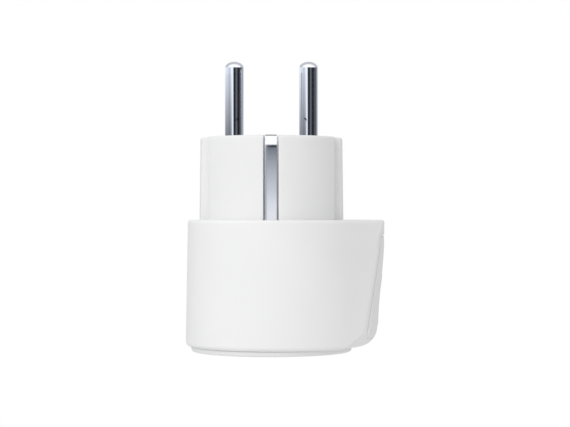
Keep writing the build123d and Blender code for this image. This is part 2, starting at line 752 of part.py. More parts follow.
def clip_slots(z0, z1):
    """The two slots in the socket that the earth clips stand in."""
    half = CLIP_WIDTH / 2 + CLIP_SLOT_GAP
    front = block(-half, half, -HUGE, CLIP_SLOT_DEPTH - RECESS_R, z0, z1)
    return front + block(-half, half, RECESS_R - CLIP_SLOT_DEPTH, HUGE, z0, z1)


def socket_face():
    """Socket wall: standing rim, round recess, guide ribs and snap lugs."""
    rim = rod(0, 0, 0, RIM_HEIGHT, RIM_R)
    rim = fillet(rim.edges().group_by(Axis.Z)[0], RIM_EDGE_FILLET)
    cup = rim + rod(0, 0, RIM_HEIGHT, RECESS_DEPTH, CUP_R)
    cup -= rod(0, 0, -1, RECESS_DEPTH + 1, RECESS_R)
    mouth = cup.edges().filter_by(
        lambda e: abs(e.center().Z) < 0.01 and e.radius < RECESS_R + 0.1
    )
    cup = chamfer(mouth, MOUTH_CHAMFER)
    rib_inner = RECESS_R - GUIDE_RIB_DEPTH
    rib_outer = RECESS_R + GUIDE_RIB_ROOT
    rib_y0 = GUIDE_RIB_Y - GUIDE_RIB_WIDTH / 2
    rib_y1 = GUIDE_RIB_Y + GUIDE_RIB_WIDTH / 2
    rib = block(rib_inner, rib_outer, rib_y0, rib_y1, GUIDE_RIB_Z, RECESS_DEPTH)
    rib &= rod(0, 0, 0, RECESS_DEPTH, rib_outer)
    for half_turn in (0, 180):
        cup += Rot(0, 0, half_turn) * rib
        cup += Rot(0, 0, half_turn) * mirror(rib, about=Plane.XZ)
    lug = block(CUP_R - LUG_ROOT, RIM_R, -LUG_HALF, LUG_HALF, LUG_Z, LUG_Z + LUG_HEIGHT)
    lug &= rod(0, 0, LUG_Z, LUG_Z + LUG_HEIGHT, LUG_R)
    for angle in SNAP_ANGLES:
        cup += Rot(0, 0, angle) * lug
    return cup - clip_slots(CLIP_SLOT_Z, RECESS_DEPTH + 1)


def socket_floor():
    """Floor of the socket: pin holes, a pivot for the shutter and posts for its cover."""
    floor = rod(0, 0, RECESS_DEPTH, FLOOR_TOP_Z, CUP_R)
    for x in (-PIN_X, PIN_X):
        floor -= rod(x, 0, RECESS_DEPTH - 1, FLOOR_TOP_Z + 1, SOCKET_HOLE_R)
    floor += rod(0, 0, FLOOR_TOP_Z, COVER_Z - COVER_PLAY, PIVOT_R)
    for angle in COVER_POST_ANGLES:
        place = Rot(0, 0, angle) * Pos(COVER_POST_PLACE, 0, 0)
        floor += place * rod(0, 0, FLOOR_TOP_Z, COVER_Z, COVER_POST_R)
    return floor - clip_slots(RECESS_DEPTH - 1, FLOOR_TOP_Z + 1)


def shutter():
    """Rotor that covers both pin holes and turns out of their way."""
    top = SHUTTER_Z + SHUTTER_THICKNESS
    plate = rod(0, 0, SHUTTER_Z, top, SHUTTER_HUB_R)
    for x in (-PIN_X, PIN_X):
        plate += rod(x, 0, SHUTTER_Z, top, SHUTTER_WING_R)
    plate += block(-PIN_X, PIN_X, -SHUTTER_ARM, SHUTTER_ARM, SHUTTER_Z, top)
    plate += rod(0, 0, SHUTTER_Z, COVER_Z - HUB_GAP, HUB_R)
    return plate - rod(0, 0, SHUTTER_Z - 1, COVER_Z, PIVOT_R + PIVOT_PLAY)


def shutter_spring():
    """Torsion spring around the shutter's hub."""
    centre = (0, 0, SPRING_Z)
    coil = Helix(pitch=SPRING_PITCH, height=SPRING_HEIGHT, radius=SPRING_R, center=centre)
    ring = Plane(origin=coil @ 0, z_dir=coil % 0) * Circle(SPRING_WIRE_R)
    return sweep(ring, path=coil, is_frenet=True)


def shutter_cover():
    """Plate over the shutter, with openings for the pins."""
    top = COVER_Z + COVER_THICKNESS
    plate = rod(0, 0, COVER_Z, top, COVER_R)
    for x in (-PIN_X, PIN_X):
        plate -= rod(x, 0, COVER_Z - 1, top + 1, COVER_HOLE_R)
    return plate


def socket_contact(x):
    """Sprung female contact: two leaves joined by a back strip, with a solder tail."""
    half = CONTACT_GAP / 2
    wide = CONTACT_WIDTH / 2
    leaf = CONTACT_SHEET
    mouth = half + CONTACT_LEAD
    lead_z = CONTACT_Z + CONTACT_LEAD_HEIGHT
    lead = [
        (mouth, CONTACT_Z),
        (mouth + leaf, CONTACT_Z),
        (half + leaf, lead_z),
        (half + leaf, CONTACT_TOP),
        (half, CONTACT_TOP),
        (half, lead_z),
    ]
    shape = make_face(Polyline(*lead, close=True))
    plane = Plane(origin=(0, -wide, 0), x_dir=(1, 0, 0), z_dir=(0, -1, 0))
    right = Pos(0, 2 * wide, 0) * extrude(plane * shape, amount=2 * wide)
    contact = right + mirror(right, about=Plane.YZ)
    reach = half + leaf
    contact += block(-reach, reach, -wide, wide, CONTACT_TOP - leaf, CONTACT_TOP)
    tail_x, tail_y = CONTACT_TAIL
    contact += block(-tail_x, tail_x, -tail_y, tail_y, CONTACT_TOP, BOARD_Z)
    return Pos(x, 0, 0) * contact


def main_board():
    """Round power board with flats beside the keying notches."""
    board = rod(0, 0, BOARD_Z, BOARD_TOP, BOARD_R)
    return board & block(-BOARD_HALF_X, BOARD_HALF_X, -HUGE, HUGE, BOARD_Z, BOARD_TOP)


def relay_base():
    """Relay foot with its terminal post."""
    foot = block(*RELAY_CASE, RELAY_BASE_Z, RELAY_BASE_TOP)
    return foot + block(*RELAY_POST, RELAY_BASE_TOP, BOARD_Z)


def relay_cover():
    """Open box over the relay's works."""
    x0, x1, y0, y1 = RELAY_CASE
    wall, roof = RELAY_CASE_WALL
    box = block(x0, x1, y0, y1, RELAY_CASE_Z, RELAY_BASE_Z)
    room = (x0 + wall, x1 - wall, y0 + wall, y1 - wall)
    return box - block(*room, RELAY_CASE_Z + roof, RELAY_BASE_Z + 1)


def relay_coil():
    """Wound bobbin with two end flanges."""
    coil = rod_x(*COIL_X, *RELAY_AXIS, COIL_R)
    for flange in COIL_FLANGES:
        coil += rod_x(*flange, *RELAY_AXIS, COIL_FLANGE_R)
    return coil - rod_x(COIL_X[0] - 1, COIL_X[1] + 1, *RELAY_AXIS, COIL_BORE_R)


def relay_yoke():
    """Iron yoke with the coil's core and pole face."""
    x0, x1 = YOKE_X
    z0, z1 = YOKE_Z
    yoke = block(x0, x0 + YOKE_SHEET, *IRON_Y, z0, z1)
    yoke += block(x0, x1, *IRON_Y, z0, z0 + YOKE_SHEET)
    yoke += rod_x(*CORE_X, *RELAY_AXIS, CORE_R)
    return yoke + rod_x(POLE_X, CORE_X[1], *RELAY_AXIS, POLE_R)


def relay_armature():
    """Iron armature with a round heel that it tips on, against the pole face."""
    x0, x1 = ARMATURE_X
    plate = block(x0, x1, *IRON_Y, *ARMATURE_Z)
    return plate + rod_y((x0 + x1) / 2, *IRON_Y, ARMATURE_Z[0], (x1 - x0) / 2)


def relay_moving_blade():
    """Contact blade on the armature."""
    x0 = ARMATURE_X[1]
    blade = block(x0, x0 + BLADE_SHEET, *BLADE_Y, *BLADE_Z)
    return blade + rod_x(*MOVING_BUTTON_X, RELAY_AXIS[0], CONTACT_BUTTON_Z, CONTACT_BUTTON_R)


def relay_fixed_contact():
    """Fixed contact post under the relay foot."""
    post = block(*FIXED_POST_X, *BLADE_Y, FIXED_POST_Z, RELAY_BASE_Z)
    return post + rod_x(*FIXED_BUTTON_X, RELAY_AXIS[0], CONTACT_BUTTON_Z, CONTACT_BUTTON_R)


def current_shunt():
    """Bent resistance strip under the main board."""
    x0, x1 = SHUNT_X
    bar = block(x0, x1, *SHUNT_Y, *SHUNT_Z)
    for x in (x0, x1 - SHUNT_LEG):
        bar += block(x, x + SHUNT_LEG, *SHUNT_Y, SHUNT_Z[1], BOARD_Z)
    return bar


def metering_chip():
    """Flat chip with a row of legs on each long side."""
    low, high = CHIP_DROP
    wide, tall = CHIP_LEG
    chip = block(*CHIP_X, *CHIP_Y, BOARD_Z - low, BOARD_Z - high)
    for i in range(CHIP_LEGS):
        x = CHIP_LEG_X + i * CHIP_LEG_PITCH
        chip += block(x, x + wide, *CHIP_LEG_Y, BOARD_Z - tall, BOARD_Z)
    return chip


def can_capacitor(x, y, radius, height):
    """Upright capacitor can with a rolled groove and a rounded top edge."""
    can = rod(x, y, BOARD_TOP, BOARD_TOP + height, radius)
    can = fillet(can.edges().group_by(Axis.Z)[-1], CAN_FILLET)
    out, groove_r = CAN_GROOVE
    return can - Pos(x, y, BOARD_TOP + CAN_GROOVE_Z) * Torus(radius + out, groove_r)


def film_capacitor():
    """Boxed film capacitor."""
    box = block(*FILM_BOX, BOARD_TOP, FILM_TOP)
    return fillet(box.edges().filter_by(Axis.Z), FILM_FILLET)


def varistor():
    """Disc on two legs."""
    x, y = VARISTOR_PLACE
    apart, leg_r, leg_top = VARISTOR_LEG
    z = BOARD_TOP + VARISTOR_LIFT
    disc = rod_y(x, y - VARISTOR_HALF, y + VARISTOR_HALF, z, VARISTOR_R)
    disc = fillet(disc.edges(), VARISTOR_FILLET)
    for leg_x in (x - apart, x + apart):
        disc += rod(leg_x, y, BOARD_TOP, leg_top, leg_r)
    return disc


def fusible_resistor():
    """Axial resistor with its two bent legs."""
    z = BOARD_TOP + RESISTOR_LIFT
    leg = RESISTOR_LEG_R
    y0, y1 = RESISTOR_LEG_Y
    body = rod_y(RESISTOR_X, *RESISTOR_Y, z, RESISTOR_R)
    body = fillet(body.edges(), RESISTOR_FILLET)
    for y in (y0, y1):
        body += rod(RESISTOR_X, y, BOARD_TOP, z + leg, leg)
    return body + rod_y(RESISTOR_X, y0 - leg, y1 + leg, z, leg)


def power_inductor():
    """Drum core with a wound waist."""
    radius, flange = INDUCTOR_FLANGE
    top = BOARD_TOP + INDUCTOR_HEIGHT
    drum = rod(*INDUCTOR_PLACE, BOARD_TOP, top, INDUCTOR_WAIST_R)
    drum += rod(*INDUCTOR_PLACE, BOARD_TOP, BOARD_TOP + flange, radius)
    return drum + rod(*INDUCTOR_PLACE, top - flange, top, radius)


def bridge_rectifier():
    """Small block rectifier with four legs."""
    low, high = RECTIFIER_Z
    wide, tall = RECTIFIER_LEG
    body = block(*RECTIFIER_BODY, BOARD_TOP + low, BOARD_TOP + high)
    for x in RECTIFIER_LEG_X:
        body += block(x, x + wide, *RECTIFIER_LEG_Y, BOARD_TOP, BOARD_TOP + tall)
    return body


def radio_board():
    """Upright radio board that hangs from the main board."""
    return block(-RADIO_HALF, RADIO_HALF, *RADIO_Y, RADIO_Z, BOARD_Z)


def radio_shield():
    """Metal can on the radio board."""
    x0, x1, y0, y1, z0, z1 = SHIELD_BOX
    sheet = SHIELD_SHEET
    can = block(*SHIELD_BOX)
    can = fillet(can.edges().filter_by(Axis.Y), SHIELD_FILLET)
    return can - block(x0 + sheet, x1 - sheet, y0 + sheet, y1 + 1, z0 + sheet, z1 - sheet)


def pin_busbar(x):
    """Strip from a pin's tail down to the main board."""
    half = BUSBAR_HALF
    sheet = BUSBAR_HALF_SHEET
    foot, foot_z = BUSBAR_FOOT
    strip = block(x - half, x + half, -sheet, sheet, BOARD_TOP, foot_z)
    return strip + block(x - half, x + half, -foot, foot, foot_z, PIN_TAIL_Z)


def switched_busbar():
    """Strip under the main board from the relay to the switched contact."""
    x0, y0 = SWITCHED_FOOT
    strip = block(*SWITCHED_X, *SWITCHED_Y, SWITCHED_Z[1], BOARD_Z)
    return strip + block(x0, SWITCHED_X[1], y0, SWITCHED_Y[1], *SWITCHED_Z)


def build_all():
    """Every piece by its node name."""
    return {
        "housing_shell": housing_shell(),
        "plug_nose": plug_nose(),
        "socket_face": socket_face(),
        "socket_floor": socket_floor(),
        "side_panel": side_panel(),
        "button_cap": button_cap(),
        "led_lens": led_lens(),
        "pin_live": plug_pin(PIN_X),
        "pin_neutral": plug_pin(-PIN_X),
        "pin_plate": pin_plate(),
        "assembly_screws": assembly_screws(),
        "earth_sleeve": earth_sleeve(),
        "earth_strip_front": earth_strip(-1),
        "earth_strip_back": earth_strip(1),
        "earth_clip_front": earth_clip(-1),
        "earth_clip_back": earth_clip(1),
        "earth_bridge": earth_bridge(),
        "live_contact": socket_contact(PIN_X),
        "neutral_contact": socket_contact(-PIN_X),
        "shutter": shutter(),
        "shutter_spring": shutter_spring(),
        "shutter_cover": shutter_cover(),
        "main_board": main_board(),
        "relay_base": relay_base(),
        "relay_cover": relay_cover(),
        "relay_coil": relay_coil(),
        "relay_yoke": relay_yoke(),
        "relay_armature": relay_armature(),
        "relay_moving_blade": relay_moving_blade(),
        "relay_fixed_contact": relay_fixed_contact(),
        "current_shunt": current_shunt(),
        "metering_chip": metering_chip(),
        "input_capacitor": can_capacitor(*INPUT_CAN),
        "output_capacitor": can_capacitor(*OUTPUT_CAN),
        "film_capacitor": film_capacitor(),
        "varistor": varistor(),
        "fusible_resistor": fusible_resistor(),
        "power_inductor": power_inductor(),
        "bridge_rectifier": bridge_rectifier(),
        "radio_board": radio_board(),
        "radio_shield": radio_shield(),
        "button_board": button_board(),
        "switch_body": switch_body(),
        "switch_plunger": switch_plunger(),
        "status_led": status_led(),
        "board_wires": board_wires(),
        "live_busbar": pin_busbar(PIN_X),
        "neutral_busbar": pin_busbar(-PIN_X),
        "switched_busbar": switched_busbar(),
    }


os.makedirs("parts", exist_ok=True)
for name, shape in build_all().items():
    export_step(shape, f"parts/{name}.step")
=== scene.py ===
import json
import math
import bmesh
import bpy
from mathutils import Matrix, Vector


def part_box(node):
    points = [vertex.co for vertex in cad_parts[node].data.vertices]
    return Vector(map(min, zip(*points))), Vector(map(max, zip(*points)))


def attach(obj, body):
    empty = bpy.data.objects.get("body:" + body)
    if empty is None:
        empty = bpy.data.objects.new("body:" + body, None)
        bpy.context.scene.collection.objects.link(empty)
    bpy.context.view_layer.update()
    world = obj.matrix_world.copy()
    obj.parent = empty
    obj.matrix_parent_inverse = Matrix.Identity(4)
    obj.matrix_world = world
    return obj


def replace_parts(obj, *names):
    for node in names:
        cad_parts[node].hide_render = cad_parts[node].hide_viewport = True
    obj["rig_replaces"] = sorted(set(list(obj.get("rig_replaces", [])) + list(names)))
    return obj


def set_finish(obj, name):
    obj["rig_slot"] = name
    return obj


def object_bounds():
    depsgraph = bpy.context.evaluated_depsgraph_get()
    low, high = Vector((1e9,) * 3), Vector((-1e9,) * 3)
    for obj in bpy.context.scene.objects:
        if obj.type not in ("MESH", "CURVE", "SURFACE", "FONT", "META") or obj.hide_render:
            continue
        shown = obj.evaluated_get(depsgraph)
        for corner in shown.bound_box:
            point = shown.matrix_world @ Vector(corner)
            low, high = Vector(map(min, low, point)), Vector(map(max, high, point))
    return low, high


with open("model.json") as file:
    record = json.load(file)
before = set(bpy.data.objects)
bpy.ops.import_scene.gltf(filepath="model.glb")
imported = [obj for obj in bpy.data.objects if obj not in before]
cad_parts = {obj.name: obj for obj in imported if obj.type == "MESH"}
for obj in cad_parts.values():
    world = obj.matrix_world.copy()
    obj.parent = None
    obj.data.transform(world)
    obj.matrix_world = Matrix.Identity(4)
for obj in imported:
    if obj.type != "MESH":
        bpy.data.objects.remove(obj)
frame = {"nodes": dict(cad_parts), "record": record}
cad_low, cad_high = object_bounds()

# The object is worked out in millimetres and turned into metres when a mesh is made.
MM = 0.001
scene = bpy.context.scene


def span(node):
    """Lowest and highest corner of a CAD node in millimetres."""
    low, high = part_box(node)
    return low / MM, high / MM


shell_low, shell_high = span("housing_shell")
nose_high = span("plug_nose")[1]
face_high = span("socket_face")[1]
pin_low, pin_high = span("pin_live")
strip_low, strip_high = span("earth_strip_front")
clip_high = span("earth_clip_front")[1]
floor_low = span("socket_floor")[0]
pin_centre = (pin_low.x + pin_high.x) / 2

# ---- housing, close to the CAD's dimensions ----
HOUSING_BOTTOM = shell_low.z
HOUSING_TOP = shell_high.z
END_X = shell_high.x
HOUSING_R = -shell_low.x
SIDE_DRAFT = math.tan(math.radians(1.0))
SIDE_ARC_R = 30.0
SIDE_ARC_X = 19.0
SIDE_TURN = math.asin(SIDE_ARC_X / SIDE_ARC_R)
SLANT = math.radians(5.0)
END_R = 17.3
END_R_GROWTH = 0.09
END_TOP_R = 50.0
END_BLEND = 3.0
END_BEND = 26.0
END_FLAT = 29.5
BEND_SOFT = 2.0
SHOULDER_TURN = math.radians(45)
SHOULDER_REACH = 40.0
END_SLANT = math.tan(SLANT)
END_CORNER = 5.0
END_CORNER_TURN = math.radians(85)
END_CORNER_HALF_ANGLE = math.radians(47.5)
END_CORNER_RUN = END_CORNER / math.tan(END_CORNER_HALF_ANGLE)
FOOT = 1.2
RIM = 0.6
WALL = 1.4
END_WALL = 2.4
INNER_FLOOR = 3.0
INNER_CORNER = 3.0
INNER_LEVELS = (33.0, 32.0, 31.0, 26.0, 20.0, 14.0, 9.0, 6.5)
WALL_LIP = 0.12
MOUTH_R = 20.25
MOUTH_SOFT = 0.15
EDGE_SOFT = 0.16
ROW_STEP = 0.8

# ---- plug body ----
NOSE_R = 18.4
NOSE_DRAFT = math.tan(math.radians(0.7))
NOSE_FILLET = 0.7
NOTCH_X = 15.85
NOTCH_Y = 4.6
SLOT_HALF = 1.9
SLOT_Y = 16.82
FLAT_FILLET = 0.25
LID_TOP = 33.3
LID_BOTTOM = 31.3
LID_GAP = 0.12
LID_SOFT = 0.15
CAVITY_R = 16.7
CAVITY_HALF = 14.4
CAVITY_TOP = 52.5
EARTH_HOLE_Y = 10.0
PIN_R = 2.4
PIN_CROWN = 1.65

# ---- panel and button ----
PANEL_TOP = 29.4
PANEL_BOTTOM = 3.6
PANEL_HALF_TOP = 6.1
PANEL_HALF_BOTTOM = 10.3
PANEL_CORNER = 1.8
PANEL_SINK = 0.04
PANEL_RISE = 0.3
PANEL_THICK = 1.1
PANEL_SOFT = 0.24
PANEL_MIDDLE = 17.0
SEAT_GAP = 0.4
SEAT_FOOT_GAP = 0.02
SEAT_TOP_GAP = 0.2
SEAT_PLAY = 0.03
SEAT_SOFT = 0.08
BUTTON_Z = 13.1
BUTTON_HALF_LONG = 6.5
BUTTON_HALF_WIDE = 3.4
BUTTON_GAP = 0.18
BUTTON_BACK = 3.55
BUTTON_PROUD = -0.1
BUTTON_DISH = 0.22
BUTTON_SOFT = 0.3
WINDOW_FLARE = 0.12
LED_UP = 11.3
LED_R = 1.0

# ---- earth contacts and socket ----
STRIP_THICK = 0.8
STRIP_SOFT = 0.12
STRIP_ROLL = 0.36
STRIP_BOW = 0.28
CLIP_WIDTH = 4.0
CLIP_THICK = 0.7
CLIP_SOFT = 0.2
CLIP_ROLL = 0.3
CUP_R = 20.1
CUP_BORE_R = 19.0
RIB_SOFT = 0.5
RIB_REACH = 19.8


# ==== mesh helpers ====
def make_piece(name, points, faces, body, slot, nodes, sharp=40.0):
    """A smooth-shaded object from millimetre points, riding on a body."""
    mesh = bpy.data.meshes.new(name)
    mesh.from_pydata([Vector(p) * MM for p in points], [], faces)
    work = bmesh.new()
    work.from_mesh(mesh)
    bmesh.ops.remove_doubles(work, verts=work.verts, dist=1e-7)
    bmesh.ops.recalc_face_normals(work, faces=work.faces)
    work.to_mesh(mesh)
    work.free()
    piece = bpy.data.objects.new(name, mesh)
    scene.collection.objects.link(piece)
    finish_shading(piece, sharp)
    if body:
        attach(piece, body)
        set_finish(piece, slot)
        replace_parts(piece, *nodes)
    return piece


def tool_piece(points, faces):
    """A body that only cuts or builds up another piece."""
    return make_piece("tool", points, faces, None, None, None)


def finish_shading(piece, sharp=40.0):
    """Smooth shading that breaks only at real edges."""
    mesh = piece.data
    for polygon in mesh.polygons:
        polygon.use_smooth = True
    mesh.set_sharp_from_angle(angle=math.radians(sharp))


def closed_grid(rows, wrap_rows=False, cap_first=False, cap_last=False):
    """Points and faces of closed loops of equal length, joined one to the next."""
    count = len(rows[0])
    points = [p for row in rows for p in row]
    faces = []
    steps = len(rows) if wrap_rows else len(rows) - 1
    for r in range(steps):
        a = r * count
        b = ((r + 1) % len(rows)) * count
        for c in range(count):
            d = (c + 1) % count
            faces.append((a + c, a + d, b + d, b + c))
    if cap_first:
        faces.append(tuple(range(count)))
    if cap_last:
        start = (len(rows) - 1) * count
        faces.append(tuple(range(start, start + count)))
    return points, faces


def closed_tube(rows):
    """Points and faces of a stack of loops, closed at both ends."""
    return closed_grid(rows, cap_first=True, cap_last=True)


def lathe(profile, x, y, steps, wrap_rows=False):
    """Turns (radius, z) points about an upright axis; a radius of 0 closes an end."""
    rows = []
    caps = {}
    for index, (radius, z) in enumerate(profile):
        if radius <= 0:
            caps[index] = (x, y, z)
            continue
        turn = [2 * math.pi * i / steps for i in range(steps)]
        rows.append([(x + radius * math.cos(t), y + radius * math.sin(t), z) for t in turn])
    points, faces = closed_grid(rows, wrap_rows)
    for index, start in ((0, 0), (len(profile) - 1, (len(rows) - 1) * steps)):
        if index in caps:
            points.append(caps[index])
            tip = len(points) - 1
            faces += [(start + c, start + (c + 1) % steps, tip) for c in range(steps)]
    return points, faces


def combine(piece, tools, operation, sharp=40.0):
    """Cuts the tools out of the piece, or adds them to it, and removes them."""
    for tool in tools:
        modifier = piece.modifiers.new("combine", "BOOLEAN")
        modifier.operation = operation
        modifier.solver = "EXACT"
        modifier.object = tool
    bpy.context.view_layer.update()
    graph = bpy.context.evaluated_depsgraph_get()
    mesh = bpy.data.meshes.new_from_object(piece.evaluated_get(graph))
    piece.modifiers.clear()
    piece.data = mesh
    for tool in tools:
        bpy.data.objects.remove(tool)
    finish_shading(piece, sharp)


def quarter(radius, steps):
    """(inset, height) pairs of a quarter round, from the flat top to the upright side."""
    pairs = []
    for i in range(steps + 1):
        t = math.pi / 2 * i / steps
        pairs.append((radius * (1 - math.sin(t)), radius * (1 - math.cos(t))))
    return pairs


# ==== housing shape ====
def end_reach(z):
    """Where the end face stands on the centre line at height z, its bend softened."""
    below = END_BEND - z
    if below > BEND_SOFT:
        return END_X - below * END_SLANT
    if below < -BEND_SOFT:
        return END_X
    return END_X - (below + BEND_SOFT) ** 2 / (4 * BEND_SOFT) * END_SLANT


def end_bow(z):
    """Radius of the end face's bow: roundest above the bend, nearly flat at the top."""
    if z < END_FLAT:
        return END_R + max(0.0, END_BEND - z) * END_R_GROWTH
    share = (z - END_FLAT) / (HOUSING_TOP - END_FLAT)
    return 1 / ((1 - share) / END_R + share / END_TOP_R)


def end_curve(z, inset):
    """Half of the end's plan as (x, |y|) points: bowed face, blend and flat shoulder."""
    bow = end_bow(z)
    centre = end_reach(z) - bow
    shoulder = centre + bow * math.cos(SHOULDER_TURN)
    blend_x = shoulder + END_BLEND
    blend_y = math.sqrt((bow + END_BLEND) ** 2 - (blend_x - centre) ** 2)
    last = math.atan2(blend_y, blend_x - centre)
    curve = []
    for i in range(49):
        a = last * i / 48
        curve.append((centre + (bow - inset) * math.cos(a), (bow - inset) * math.sin(a)))
    for i in range(1, 9):
        a = last * (1 - i / 8)
        curve.append((blend_x - (END_BLEND + inset) * math.cos(a),
                      blend_y - (END_BLEND + inset) * math.sin(a)))
    curve.append((shoulder - inset, SHOULDER_REACH))
    return curve


def side_curve(z, inset):
    """Half of the side's plan from the flank to the point at +X, as (x, |y|) points."""
    shrink = inset + (z - HOUSING_BOTTOM) * SIDE_DRAFT
    arc = SIDE_ARC_R - shrink
    drop = HOUSING_R - SIDE_ARC_R
    curve = []
    for i in range(65):
        a = SIDE_TURN * i / 64
        curve.append((arc * math.sin(a), drop + arc * math.cos(a)))
    x, y = curve[-1]
    curve.append((x + y / math.tan(SIDE_TURN), 0.0))
    return curve


def crossing(side, end):
    """Where the side's plan meets the end's plan."""
    for i in range(len(side) - 1):
        for j in range(len(end) - 1):
            (ax, ay), (bx, by) = side[i], side[i + 1]
            (cx, cy), (dx, dy) = end[j], end[j + 1]
            det = (bx - ax) * (dy - cy) - (by - ay) * (dx - cx)
            if abs(det) < 1e-12:
                continue
            s = ((cx - ax) * (dy - cy) - (cy - ay) * (dx - cx)) / det
            t = ((cx - ax) * (by - ay) - (cy - ay) * (bx - ax)) / det
            if 0 <= s <= 1 and 0 <= t <= 1:
                return i, j, (ax + s * (bx - ax), ay + s * (by - ay))
    raise ValueError("the side and the end of the housing don't meet")


def along(path, count):
    """Points evenly spaced along a path."""
    lengths = [0.0]
    for a, b in zip(path, path[1:]):
        lengths.append(lengths[-1] + math.dist(a, b))
    out = []
    k = 0
    for i in range(count + 1):
        goal = lengths[-1] * i / count
        while k < len(path) - 2 and lengths[k + 1] < goal:
            k += 1
        run = lengths[k + 1] - lengths[k]
        f = 0 if run == 0 else (goal - lengths[k]) / run
        a, b = path[k], path[k + 1]
        out.append(tuple(u + (v - u) * f for u, v in zip(a, b)))
    return out


def trim_back(path, distance):
    """The path without its last stretch of the given length."""
    path = list(path)
    while len(path) > 2 and math.dist(path[-2], path[-1]) <= distance:
        distance -= math.dist(path[-2], path[-1])
        path.pop()
    a, b = path[-2], path[-1]
    f = max(0.0, 1 - distance / math.dist(a, b))
    path[-1] = tuple(u + (v - u) * f for u, v in zip(a, b))
    return path


def housing_loop(z, side_inset, end_inset):
    """One closed loop around the housing at height z."""
    side = side_curve(z, side_inset)
    end = end_curve(z, end_inset)
    i, j, corner = crossing(side, end)
    flank = trim_back(side[:i + 1] + [corner], EDGE_SOFT)
    face = trim_back(list(end[:j + 1]) + [corner], EDGE_SOFT)
    radius = side[0][1]
    half = []
    for k in range(40):
        a = math.pi / 2 * k / 40
        half.append((-radius * math.cos(a), radius * math.sin(a)))
    half += along(flank, 44)
    start, finish = flank[-1], face[-1]
    for k in range(1, 5):
        t = k / 5
        half.append(tuple((1 - t) ** 2 * p + 2 * t * (1 - t) * q + t * t * r
                          for p, q, r in zip(start, corner, finish)))
    half += along(face[::-1], 30)
    front = [(x, -y, z) for x, y in half]
    back = [(x, y, z) for x, y in half[1:-1]]
    return front + back[::-1]


def foot_insets(height):
    """How far the foot's roundings pull the side and the end in at a height above it."""
    side = 0.0
    if height < FOOT:
        side = FOOT - math.sqrt(FOOT ** 2 - (FOOT - height) ** 2)
    end = 0.0
    if height < END_CORNER * (1 - math.sin(SLANT)):
        end = height * END_SLANT + END_CORNER_RUN
        end -= math.sqrt(END_CORNER ** 2 - (END_CORNER - height) ** 2)
    return side, max(end, 0.0)


def housing_rows():
    """Loops of the whole shell: up the outside, over the rim, down the inside."""
    heights = {FOOT * (1 - math.cos(math.pi / 2 * i / 7)) for i in range(8)}
    heights |= {END_CORNER * (1 - math.cos(END_CORNER_TURN * i / 14)) for i in range(15)}
    heights = sorted(heights)
    top_round = HOUSING_TOP - RIM
    level = heights[-1]
    while level + ROW_STEP < top_round - HOUSING_BOTTOM:
        level += ROW_STEP
        heights.append(level)
    rows = []
    for h in heights:
        side, end = foot_insets(h)
        rows.append(housing_loop(HOUSING_BOTTOM + h, side, end))
    for inset, drop in quarter(RIM, 6)[::-1]:
        z = HOUSING_TOP - drop
        rows.append(housing_loop(z, inset, inset))
    for inset, drop in quarter(WALL_LIP, 3):
        z = HOUSING_TOP - drop
        rows.append(housing_loop(z, WALL - inset, END_WALL - inset))
    for z in INNER_LEVELS:
        rows.append(housing_loop(z, WALL, END_WALL))
    for h in (3.0, 1.8, 1.0, 0.4, 0.0):
        rounding = math.sqrt(max(0.0, INNER_CORNER ** 2 - (INNER_CORNER - h) ** 2))
        end = h * END_SLANT + 1.8 - rounding + 1.0
        z = INNER_FLOOR + h
        rows.append(housing_loop(z, WALL, END_WALL + max(end, 0.0)))
    base = rows[-1]
    for radius, z in ((MOUTH_R, INNER_FLOOR), (MOUTH_R, HOUSING_BOTTOM + 0.2),
                      (MOUTH_R + MOUTH_SOFT, HOUSING_BOTTOM)):
        rows.append([(radius * x / math.hypot(x, y), radius * y / math.hypot(x, y), z)
                     for x, y, _ in base])
    return rows


def end_point(y, z, inset):
    """A point of the end face, moved inwards along the bow's normal."""
    bow = end_bow(z)
    radius = bow - inset - foot_insets(z - HOUSING_BOTTOM)[1]
    return (end_reach(z) - bow + math.sqrt(max(radius ** 2 - y * y, 0.0)), y, z)


# ==== slabs on the end face ====
def round_outline(corners, radius):
    """A polygon with rounded corners as (y, z, normal_y, normal_z) points."""
    out = []
    count = len(corners)
    for i in range(count):
        p, q = Vector(corners[i - 1]), Vector(corners[i])
        r = Vector(corners[(i + 1) % count])
        a, b = (q - p).normalized(), (r - q).normalized()
        na, nb = Vector((a.y, -a.x)), Vector((b.y, -b.x))
        mid = (na + nb).normalized()
        centre = q - mid * radius / mid.dot(na)
        first = math.atan2(na.y, na.x)
        turn = (math.atan2(nb.y, nb.x) - first) % (2 * math.pi)
        for k in range(6):
            t = first + turn * k / 5
            n = Vector((math.cos(t), math.sin(t)))
            out.append((centre.x + n.x * radius, centre.y + n.y * radius, n.x, n.y))
    dense = []
    for i in range(len(out)):
        a, b = out[i], out[(i + 1) % len(out)]
        pieces = max(1, int(math.dist(a[:2], b[:2]) / 0.7))
        for k in range(pieces):
            f = k / pieces
            dense.append(tuple(u + (v - u) * f for u, v in zip(a, b)))
    return dense


def panel_outline(grow, radius):
    """The panel's outline, or that of its seat when it is grown."""
    bottom = PANEL_BOTTOM - min(grow, SEAT_FOOT_GAP)
    top = PANEL_TOP + min(grow, SEAT_TOP_GAP)
    corners = [(-PANEL_HALF_BOTTOM - grow, bottom), (PANEL_HALF_BOTTOM + grow, bottom),
               (PANEL_HALF_TOP + grow, top), (-PANEL_HALF_TOP - grow, top)]
    return round_outline(corners, radius)


